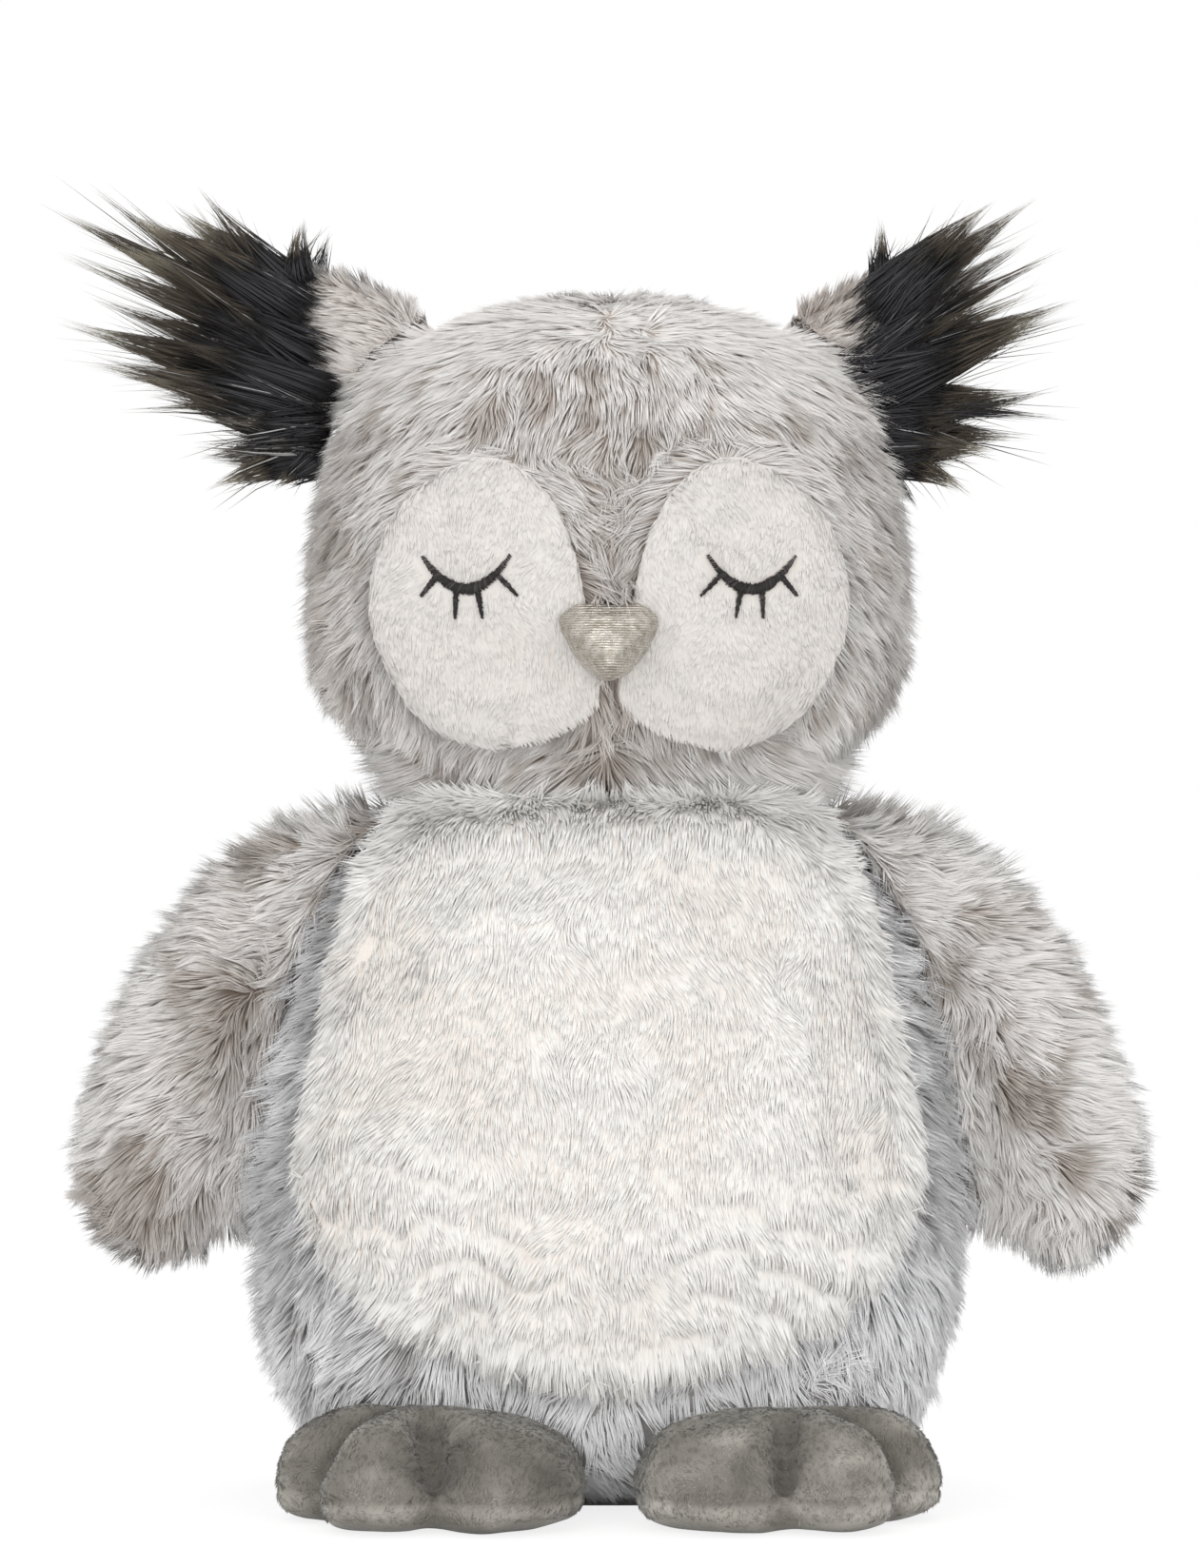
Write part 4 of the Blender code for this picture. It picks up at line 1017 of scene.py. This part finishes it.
def belly_relief(places, settings):
    """How far the plush stands out: soft waves, and low down rows of tufts that lie over each other."""
    layered = 1 - smooth_share(places[:, 2] + 0.020 * drift(places, 0.09, "row ends"), 0.060, 0.125)
    wobble = 0.0070 * drift(places, 0.070, "row lines") + 0.0024 * drift(places, 0.014, "row tufts", (1, 1, 4))
    row = ((places[:, 2] + wobble) / settings.row_pitch) % 1
    rows_here = np.clip(0.75 + 0.8 * drift(places, 0.035, "row heights"), 0, 1.3)
    tufts = (1 - row) ** 0.8 * smooth_share(row, 0.0, 0.34) * rows_here
    ribs = drift(places, 0.0050, "ribs", (1, 1, 7))
    waves = drift(places, 0.042, "belly waves", (1.7, 1, 1)) + 0.3 * drift(places, 0.020, "belly curls", (1.5, 1, 1))
    chin = smooth_share(places[:, 2], NECK_HEIGHT - 0.020, NECK_HEIGHT - 0.008)
    relief = waves * settings.wave_height + tufts * settings.row_height * layered + ribs * 0.0005 * layered
    return relief + 0.0030 * chin


def make_belly(settings):
    """The belly's cloth, with its waves and rows of tufts, and its plush, which laps over the grey fur."""
    cloth = outer_cloth("belly_cloth", ["belly_panel"], GRIDS["belly"], 0.0012)
    places, normals, _ = mesh_arrays(cloth)
    rim = nearest_tree(places[np.abs(normals[:, 1]) < 0.3])
    in_front = smooth_share(-normals[:, 1], 0.1, 0.5)
    moved_to(cloth, places + normals * (belly_relief(places, settings) * in_front)[:, None])
    backing = cloth_material("plush", "belly cloth", settings.root_colour, settings.middle_colour)
    lay(cloth, "root", backing, ["belly_panel"])
    rng = seeded("belly plush")
    roots, normals = scattered(cloth, settings.strands * 3, rng)
    from_rim = np.array([rim.find(root)[2] for root in roots])
    edge = 1 - smooth_share(from_rim, 0.002, 0.011)
    free = (from_rim > 0.004) | uncovered(roots, normals, cover_tree(["body_skin", "head_skin"]), 0.004)
    # The pile is thicker along the edge, where it lies over the grey fur.
    keep = (normals[:, 1] < 0.1) & free & (rng.random(len(roots)) < 0.40 + 0.60 * edge)
    roots, normals, edge = first_of(settings.strands, keep, roots, normals, edge)
    under_chin = smooth_share(roots[:, 2], NECK_HEIGHT - 0.022, NECK_HEIGHT - 0.008)
    over_edge = outwards_from(roots, places[:, 2].mean()) * (1.5 * edge * (1 - under_chin))[:, None]
    comb = along_cloth(drifting_comb(DOWN, roots, "belly") + over_edge, normals)
    # The plush is painted darker and pinker in the hollows of its relief and towards the toy's right: painted shade.
    # Under the chin it is painted paler, painted light against the chin's shadow, and it is paler along the edge too.
    hollow = smooth_share(-belly_relief(roots, settings), -0.0018, 0.0012)
    tone = 0.50 - 0.50 * hollow + 0.16 * smooth_share(roots[:, 0], -0.06, 0.02)
    tone = tone + 0.10 * drift(roots, 0.05, "belly tone") + 0.8 * under_chin + 0.25 * edge
    fuller = 1 + 0.9 * edge + 2 * under_chin
    strands, ground = pile(roots, normals, comb, settings, rng, tone, 1 + 0.7 * edge, fuller, PLUSH_TILT)
    # At the edge, where the cloth turns in, the pile is lit as on the round of the belly.
    belly_round = unit((roots - np.array((0, 0, 0.105))) / np.array((0.14, 0.07, 0.20)) ** 2)
    ground = unit(ground * (1 - 0.9 * edge)[:, None] + belly_round * (0.9 * edge)[:, None])
    material = pile_material("belly plush", settings)
    lay_pile("belly_plush", "root", (strands, ground), material, PLUSH_SOFTNESS)


def make_ear(name, side, settings):
    """An ear's cloth, and its fur, which runs outwards and stands up at the head."""
    ear = f"ear_{name}"
    cloth = outer_cloth(f"ear_cloth_{name}", [ear], GRIDS["ear"], 0.0018)
    lay(cloth, "root", backing_material("ear backing", settings.middle_colour), [ear])
    rng = seeded(f"ear fur {name}")
    roots, normals = scattered(cloth, settings.strands, rng)
    comb = along_cloth(drifting_comb(np.array((side * 0.8, 0, 0.35)), roots, "ear", name), normals)
    base = nearness(roots, ["head_skin"], 0.001, 0.007)
    # Next to the head the fur is painted paler: this hides its dark roots, and as painted light the shade in the
    # joint.
    tone = mottled(roots, "ear", name) + PALER[ear] + 0.7 * base
    grown = pile(roots, normals, comb, settings, rng, tone, 1.0, 1 + 0.4 * base)
    lay_pile(f"ear_fur_{name}", "root", grown, pile_material("ear fur", settings))


def make_tuft(name, side, settings):
    """A fan of pointed locks of long hair that grows from the ear's outer seam."""
    rng = seeded(f"tuft {name}")
    seam = np.array(FAN_SEAMS[name])
    main = np.array(FAN_LOCKS[name])
    # Every main lock is a bundle of wisps: one reaches its tip, the others end short of it.
    wisps = len(main) * settings.wisps
    lock = np.repeat(np.arange(len(main)), settings.wisps)
    first = np.tile(np.arange(settings.wisps) == 0, len(main))
    share = np.clip(main[lock, 0] + np.where(first, 0, rng.normal(0, 0.03, wisps)), 0, 1)
    seam_at = np.stack([np.interp(share, (0, 0.5, 1), seam[:, k]) for k in range(2)], axis=1)
    reach = np.where(first, 1.0, rng.uniform(0.50, 0.95, wisps))
    astray = np.where(first, 0, 0.0036)[:, None] * rng.normal(0, 1, (wisps, 2))
    tip = seam_at + (main[lock, 1:3] - seam_at) * reach[:, None] + astray
    depth = rng.uniform(-0.5, 0.5, wisps) * settings.depth
    curl = rng.normal(0, 1, wisps) * settings.bend
    radius = settings.lock_radius * np.sqrt(main[lock, 3]) * np.where(first, 0.75, rng.uniform(0.4, 0.8, wisps))

    weight = main[lock, 3] * np.where(first, 2.2, 1.0)
    count = settings.hairs
    wisp = rng.choice(wisps, count, p=weight / weight.sum())
    start = np.stack([seam_at[wisp, 0], depth[wisp], seam_at[wisp, 1]], axis=1)
    end = np.stack([tip[wisp, 0], depth[wisp] * 1.5 + rng.normal(0, 0.002, count), tip[wisp, 1]], axis=1)
    span = end - start
    way = unit(span)
    over = unit(np.cross(way, BACK))
    behind = np.cross(over, way)
    heading = rng.uniform(0, 2 * np.pi, count)
    spread = radius[wisp] * np.sqrt(rng.random(count))
    own_reach = rng.triangular(0.40, 0.80, 1.08, count)
    stray = np.where(rng.random(count) < 0.08, rng.normal(0, 0.007, count), rng.normal(0, 0.0006, count))
    stations, along = [], []
    for step in np.linspace(0, 1, 4):
        t = step * own_reach
        closing = (1 - np.clip(t, 0, 1) ** 1.3) * spread
        point = start + span * t[:, None] + over * ((curl[wisp] + stray) * t**2 + closing * np.cos(heading))[:, None]
        stations.append((point + behind * (closing * np.sin(heading))[:, None]) * np.array((side, 1, 1)))
        along.append(np.clip(0.6 * t * reach[wisp] + 0.4 * step, 0, 1))
    stations = np.stack(stations, axis=1) + np.array((0, 0, NECK_HEIGHT))
    spots = rng.normal(0, 0.05, len(main))[lock][wisp]
    widths = settings.width * rng.uniform(0.55, 1.2, (count, 1)) * np.array((0, 1.0, 0.8, 0))
    across = unit(BACK + rng.normal(0, 0.6, (count, 3)))
    pale = rng.random(count) < settings.pale_share + main[lock, 4][wisp]
    tones = np.where(pale, 0.97, rng.uniform(0.05, 0.85, count))
    along = np.stack(along, axis=1) + spots[:, None]
    hair = strands_mesh(f"ear_tuft_hair_{name}", (stations, widths, across, tones), along=along)
    lay(hair, "root", tuft_material(settings), [f"ear_tuft_{name}"])


def arc_point(settings, side, along):
    """A point of a closed eye's arc in x and z, from its outer end at -1 to its inner end at 1."""
    x = side * (settings.centre - along * settings.half_width)
    return x, NECK_HEIGHT + settings.height - settings.sag * (1 - along**2)


def make_patch(name, side, settings, stitch):
    """A plush patch that the stitches of the closed eye draw in, with no plush under them."""
    patch = f"eye_patch_{name}"
    cloth = outer_cloth(f"patch_cloth_{name}", [patch], GRIDS["patch"], 0.0003)
    arc = np.array([arc_point(stitch, side, along) for along in np.linspace(-1, 1, 25)])

    def off_arc(places):
        return np.linalg.norm(places[:, None, ::2] - arc[None], axis=2).min(axis=1)

    places, _, _ = mesh_arrays(cloth)
    places[:, 1] += stitch.dimple * hump(off_arc(places), stitch.width * 1.3)
    places[:, 1] -= drift(places, 0.040, f"patch {name}") * 0.0008 + drift(places, 0.012, "dents") * 0.0002
    moved_to(cloth, places)
    backing = cloth_material("plush", "eye patch cloth", settings.root_colour, settings.middle_colour)
    lay(cloth, "root", backing, [patch])
    rng = seeded(f"patch plush {name}")
    roots, normals = scattered(cloth, settings.strands * 3, rng)
    keep = (normals[:, 1] < -0.2) & (off_arc(roots) >= stitch.width * 0.75)
    roots, normals = first_of(settings.strands, keep, roots, normals)
    comb = along_cloth(drifting_comb(DOWN, roots, "patch", name), normals)
    tone = 0.60 + 0.25 * drift(roots, 0.05, f"patch tone {name}")
    grown = pile(roots, normals, comb, settings, rng, tone, tilt=PLUSH_TILT)
    material = pile_material("patch plush", settings)
    lay_pile(f"patch_plush_{name}", "root", grown, material, PLUSH_SOFTNESS)
    return cloth


def satin_threads(name, side, settings):
    """Both ends in x and z of each thread of a closed eye: those of the arc, then those of the lashes."""
    jitter = seeded(f"stitches {name}")
    threads = []
    for along in np.linspace(-1, 1, ARC_THREADS):
        slope = np.array((side * -settings.half_width, 2 * settings.sag * along))
        flat = np.array((-slope[1], slope[0])) / np.linalg.norm(slope)
        flat = unit(flat + 0.35 * slope / np.linalg.norm(slope))
        centre = np.array(arc_point(settings, side, along))
        half = settings.width / 2 * (1 - 0.72 * along**2) * jitter.uniform(0.85, 1.25)
        threads.append((centre - flat * half, centre + flat * half))
    for along, lean, reach in LASH_SHARES:
        start = np.array(arc_point(settings, side, along))
        way = unit(np.array((side * lean, -1.0)))
        flat = unit(np.array((-way[1], way[0])) + 0.5 * way)
        for share in np.linspace(0.05, 1, LASH_THREADS):
            centre = start + way * settings.lash_length * reach * share
            half = settings.lash_width / 2 * (1 - 0.55 * share**2) * jitter.uniform(0.75, 1.25)
            threads.append((centre - flat * half, centre + flat * half))
    return threads


def make_eye(name, side, patch_settings, settings):
    """An eye patch, and the satin stitches of the closed eye over its pile."""
    cloth = make_patch(name, side, patch_settings, settings)
    tree = BVHTree.FromObject(cloth, bpy.context.evaluated_depsgraph_get())
    lift = patch_settings.length * math.sin(patch_settings.lift)

    def on_patch(place):
        hit, normal, _, _ = tree.ray_cast(Vector((place[0], -1, place[1])), Vector((0, 1, 0)))
        return np.array(hit + normal * lift), np.array(normal)

    stations, flats = [], []
    for first, second in satin_threads(name, side, settings):
        (a, _), (b, _), (_, normal) = on_patch(first), on_patch(second), on_patch((first + second) / 2)
        crown = normal * settings.thread * 0.9
        stations.append([a - crown, a * 0.85 + b * 0.15 + crown, a * 0.15 + b * 0.85 + crown, b - crown])
        flats.append(np.cross(b - a, normal))
    widths = np.tile(np.array((0, 1, 1, 0)) * settings.thread, (len(stations), 1))
    tones = seeded(f"threads {name}").uniform(0.1, 0.9, len(stations))
    eye = strands_mesh(f"closed_eye_threads_{name}", (np.array(stations), widths, unit(np.array(flats)), tones))
    lay(eye, "root", thread_material(settings), [f"closed_eye_{name}"])


def make_beak(settings):
    """A stuffed wedge of foiled cloth, broad at the top and drawn to a point below."""
    cloth = outer_cloth("beak_cloth", ["beak_skin", "beak_filling"], GRIDS["beak"])
    low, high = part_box("beak_skin")
    places, normals, _ = mesh_arrays(cloth)
    places = places * 0.3 + blurred(cloth, 30) * 0.7
    wrinkle = drift(places, 0.006, "beak wrinkles", (0.8, 1, 1.8))
    wrinkle = wrinkle + 0.5 * drift(places, 0.003, "beak creases", (1, 1, 1.6))
    up = np.clip((places[:, 2] - low.z) / (high.z - low.z), 0, 1)
    places[:, 0] *= settings.tip_share + (settings.top_share - settings.tip_share) * up**0.7
    in_front = smooth_share(-normals[:, 1], 0.0, 0.6)
    # It is stuffed fuller towards the tip, and dips in the middle of its top edge.
    places[:, 1] -= 0.0030 * in_front * np.exp(-(((up - 0.22) / 0.24) ** 2) - (places[:, 0] / 0.0065) ** 2)
    places[:, 2] -= 0.0015 * hump(places[:, 0], 0.0045) * smooth_share(up, 0.7, 1.0)
    moved_to(cloth, places + normals * (wrinkle * settings.crinkle)[:, None])
    lay(cloth, "root", beak_material(settings), ["beak_skin"])


def make_foot(name, side, settings):
    """A stuffed foot with its seam drawn in and puckered, and the nap combed over it."""
    upper, sole = f"foot_upper_{name}", f"foot_sole_{name}"
    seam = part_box(sole)[1].z
    nodes, inset = [upper, sole, f"foot_filling_{name}"], settings.length * INSET_SHARES["foot"]
    cloth = outer_cloth(f"foot_cloth_{name}", nodes, GRIDS["foot"], inset)
    finer = cloth.modifiers.new("Subdivision", "SUBSURF")
    finer.levels = finer.render_levels = 1
    settled(cloth)
    places, normals, _ = mesh_arrays(cloth)
    crown = np.clip(((places - blurred(cloth, 150)) * normals).sum(axis=1) / 0.0016, -1, 1)
    heading = np.arctan2(places[:, 0] - places[:, 0].mean(), -(places[:, 1] - places[:, 1].mean()))
    pucker = 1 + 0.5 * np.sin(heading * 46 + 3 * np.sin(heading * 7))
    above_seam = places[:, 2] - seam + 0.0016 * crown
    line = hump(above_seam, settings.seam_width) * np.clip(1 - np.abs(normals[:, 2]), 0, 1)
    drawn_in = settings.seam_depth * pucker * line + settings.crease_depth * np.maximum(-crown, 0)
    moved = places - normals * drawn_in[:, None]
    moved += normals * (drift(places, 0.024, f"foot {name}") * 0.0004)[:, None]
    moved[:, 2] = np.maximum(moved[:, 2], 0)
    moved_to(cloth, moved)
    # The nap is painted paler on the toes' crowns, a painted highlight, and darker in the creases and along the seam,
    # painted shade. It is also paler over the band below the seam, and on the toy's left foot.
    band = hump(above_seam + 0.0025, 0.0030)
    nap_tone_and_painted_light = 0.30 + 0.08 * side + 0.14 * drift(places, 0.030, f"foot tone {name}") + 0.40 * crown
    nap_tone_and_painted_light = nap_tone_and_painted_light + 0.30 * band - 0.12 * line + 0.10 * drift(places, 0.010, "foot brushing", (2, 1, 1))
    cloth.data.attributes.new("nap_tone_and_painted_light", "FLOAT", "POINT").data.foreach_set("value", nap_tone_and_painted_light.astype(np.float32))
    lay(cloth, "root", velour_tone_and_painted_light_material("foot cloth", settings), [upper, sole])

    rng = seeded(f"foot nap {name}")
    roots, normals = scattered(cloth, settings.strands * 2, rng)
    keep = uncovered(roots, normals, cover_tree(["body_skin"]), 0.02) & (normals[:, 2] > -0.7)
    roots, normals = first_of(settings.strands, keep, roots, normals)
    comb = along_cloth(drifting_comb(np.array((side * 0.3, -1.0, -0.5)), roots, "foot", name), normals)
    # The strands take the tone of the cloth under them, with its painted highlights and painted shade.
    tree = nearest_tree(moved)
    tone = nap_tone_and_painted_light[[tree.find(root)[1] for root in roots]] - 0.02
    grown = pile(roots, normals, comb, settings, rng, tone)
    lay_pile(f"foot_nap_{name}", "root", grown, pile_material("foot nap", settings), NAP_SOFTNESS)


def finish_inside():
    """The base panel, which shows from below, and finishes for the pieces sewn inside."""
    cloth = outer_cloth("base_cloth", ["base_panel"], GRIDS["base"])
    material = cloth_material("nap", "base cloth", (0.30, 0.29, 0.28), (0.42, 0.41, 0.40))
    lay(cloth, "root", material, ["base_panel"])
    fibre = cloth_material("nap", "fibre", (0.70, 0.70, 0.69), (0.86, 0.86, 0.85))
    pellets = cloth_material("nap", "pellet cloth", (0.50, 0.48, 0.44), (0.62, 0.60, 0.55))
    for name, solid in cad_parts.items():
        if "filling" in name or name == "pellet_bag":
            solid.data.materials.clear()
            solid.data.materials.append(pellets if name == "pellet_bag" else fibre)


# Operators

class OWL_OT_body(bpy.types.Operator):
    """Body cloth and its grey fur"""

    bl_idname = "owl.body"
    bl_label = "Body fur"

    def execute(self, context):
        make_body(context.scene.owl_body)
        return {"FINISHED"}


class OWL_OT_head(bpy.types.Operator):
    """Head cloth and its grey fur"""

    bl_idname = "owl.head"
    bl_label = "Head fur"

    def execute(self, context):
        make_head(context.scene.owl_head)
        return {"FINISHED"}


class OWL_OT_wings(bpy.types.Operator):
    """Both wings and their fur"""

    bl_idname = "owl.wings"
    bl_label = "Wings"

    def execute(self, context):
        for name, side in SIDES.items():
            make_wing(name, side, context.scene.owl_wing)
        return {"FINISHED"}


class OWL_OT_belly(bpy.types.Operator):
    """Cream plush panel on the belly"""

    bl_idname = "owl.belly"
    bl_label = "Belly plush"

    def execute(self, context):
        make_belly(context.scene.owl_belly)
        return {"FINISHED"}


class OWL_OT_ears(bpy.types.Operator):
    """Both ears and the long hair that fans out of them"""

    bl_idname = "owl.ears"
    bl_label = "Ears and tufts"

    def execute(self, context):
        for name, side in SIDES.items():
            make_ear(name, side, context.scene.owl_ear)
            make_tuft(name, side, context.scene.owl_tuft)
        return {"FINISHED"}


class OWL_OT_face(bpy.types.Operator):
    """Eye patches, stitched closed eyes and beak"""

    bl_idname = "owl.face"
    bl_label = "Face"

    def execute(self, context):
        for name, side in SIDES.items():
            make_eye(name, side, context.scene.owl_patch, context.scene.owl_stitch)
        make_beak(context.scene.owl_beak)
        return {"FINISHED"}


class OWL_OT_feet(bpy.types.Operator):
    """Both feet with their nap"""

    bl_idname = "owl.feet"
    bl_label = "Feet"

    def execute(self, context):
        for name, side in SIDES.items():
            make_foot(name, side, context.scene.owl_foot)
        return {"FINISHED"}


class OWL_OT_inside(bpy.types.Operator):
    """Base panel, fillings and pellet bag"""

    bl_idname = "owl.inside"
    bl_label = "Base and fillings"

    def execute(self, context):
        finish_inside()
        return {"FINISHED"}


class OWL_OT_stage(bpy.types.Operator):
    """Floor, backdrop, lights and camera"""

    bl_idname = "owl.stage"
    bl_label = "Studio"

    def execute(self, context):
        make_floor(context.scene.owl_studio)
        light_room(context.scene.owl_studio)
        place_camera(context.scene.owl_studio)
        return {"FINISHED"}


class OWL_PT_panel(bpy.types.Panel):
    """Lists the makers of the owl's pieces"""

    bl_idname = "OWL_PT_panel"
    bl_label = "Plush owl"
    bl_space_type = "VIEW_3D"
    bl_region_type = "UI"
    bl_category = "Owl"

    def draw(self, context):
        for operator in OPERATORS:
            self.layout.operator(operator.bl_idname)


def add_lamp(name, place, size, watts):
    """A square lamp turned to the toy."""
    lamp = bpy.data.lights.new(name, "AREA")
    lamp.energy = watts
    lamp.size = size
    obj = bpy.data.objects.new(name, lamp)
    obj.location = place
    obj.rotation_euler = (LAMPS_AIM - Vector(place)).to_track_quat("-Z", "Y").to_euler()
    bpy.context.scene.collection.objects.link(obj)


def direct_rays(tree):
    """Rays that show the background as it is: from the camera, a mirror or clear plastic."""
    path = tree.nodes.new("ShaderNodeLightPath")
    share = path.outputs["Is Camera Ray"]
    for kind in ("Is Glossy Ray", "Is Transmission Ray"):
        either = tree.nodes.new("ShaderNodeMath")
        either.operation = "MAXIMUM"
        tree.links.new(share, either.inputs[0])
        tree.links.new(path.outputs[kind], either.inputs[1])
        share = either.outputs["Value"]
    return share


def link_mix(tree, share, first, second, output):
    """Gives an output node a mix of two shaders."""
    mix = tree.nodes.new("ShaderNodeMixShader")
    tree.links.new(share, mix.inputs["Fac"])
    tree.links.new(first, mix.inputs[1])
    tree.links.new(second, mix.inputs[2])
    tree.links.new(mix.outputs["Shader"], tree.nodes[output].inputs["Surface"])


def make_floor(settings):
    """A white floor that keeps the toy's shadow."""
    bm = bmesh.new()
    bmesh.ops.create_grid(bm, x_segments=1, y_segments=1, size=FLOOR_SIZE)
    floor = new_piece("floor", bm)
    material = new_material("floor", settings.backdrop_colour, 0.9)
    tree = material.node_tree
    glow = tree.nodes.new("ShaderNodeEmission")
    glow.inputs["Strength"].default_value = settings.floor_glow
    seen = tree.nodes.new("ShaderNodeMath")
    seen.operation = "MULTIPLY"
    seen.inputs[1].default_value = FLOOR_WHITENESS
    tree.links.new(direct_rays(tree), seen.inputs[0])
    plain = tree.nodes["Principled BSDF"].outputs["BSDF"]
    link_mix(tree, seen.outputs["Value"], plain, glow.outputs["Emission"], "Material Output")
    floor.data.materials.append(material)


def light_room(settings):
    """A white room that lights the toy evenly, with plain white behind it, and soft lamps."""
    world = bpy.context.scene.world or bpy.data.worlds.new("studio")
    bpy.context.scene.world = world
    world.use_nodes = True
    tree = world.node_tree
    light, white = tree.nodes["Background"], tree.nodes.new("ShaderNodeBackground")
    for shader in (light, white):
        shader.inputs["Color"].default_value = (*WHITE, 1)
    light.inputs["Strength"].default_value = settings.room_light
    link_mix(tree, direct_rays(tree), light.outputs["Background"], white.outputs["Background"], "World Output")
    for name, lamp in LAMPS.items():
        add_lamp(name, *lamp)


def place_camera(settings):
    """The camera of the photograph."""
    data = bpy.data.cameras.new("camera")
    data.sensor_fit = "VERTICAL"
    data.sensor_height = SENSOR_HEIGHT
    data.lens = SENSOR_HEIGHT * settings.camera_distance / settings.frame_height
    data.shift_x, data.shift_y = PICTURE_SHIFT
    camera = bpy.data.objects.new("camera", data)
    camera.location = (0, -settings.camera_distance, settings.camera_height)
    camera.rotation_euler = (math.pi / 2, 0, 0)
    bpy.context.scene.collection.objects.link(camera)
    bpy.context.scene.camera = camera
    bpy.context.scene.view_settings.view_transform = "Standard"


OPERATORS = (
    OWL_OT_body, OWL_OT_head, OWL_OT_wings, OWL_OT_belly, OWL_OT_ears, OWL_OT_face, OWL_OT_feet, OWL_OT_inside,
    OWL_OT_stage,
)


def register():
    for settings in SETTINGS.values():
        bpy.utils.register_class(settings)
    for name, settings in SETTINGS.items():
        setattr(bpy.types.Scene, name, PointerProperty(type=settings))
    for operator in OPERATORS:
        bpy.utils.register_class(operator)
    bpy.utils.register_class(OWL_PT_panel)


def unregister():
    bpy.utils.unregister_class(OWL_PT_panel)
    for operator in reversed(OPERATORS):
        bpy.utils.unregister_class(operator)
    for name, settings in reversed(SETTINGS.items()):
        delattr(bpy.types.Scene, name)
        bpy.utils.unregister_class(settings)


def main():
    register()
    bpy.ops.owl.body()
    bpy.ops.owl.head()
    bpy.ops.owl.wings()
    bpy.ops.owl.belly()
    bpy.ops.owl.ears()
    bpy.ops.owl.face()
    bpy.ops.owl.feet()
    bpy.ops.owl.inside()
    bpy.ops.owl.stage()
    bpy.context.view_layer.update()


if __name__ == "__main__":
    main()
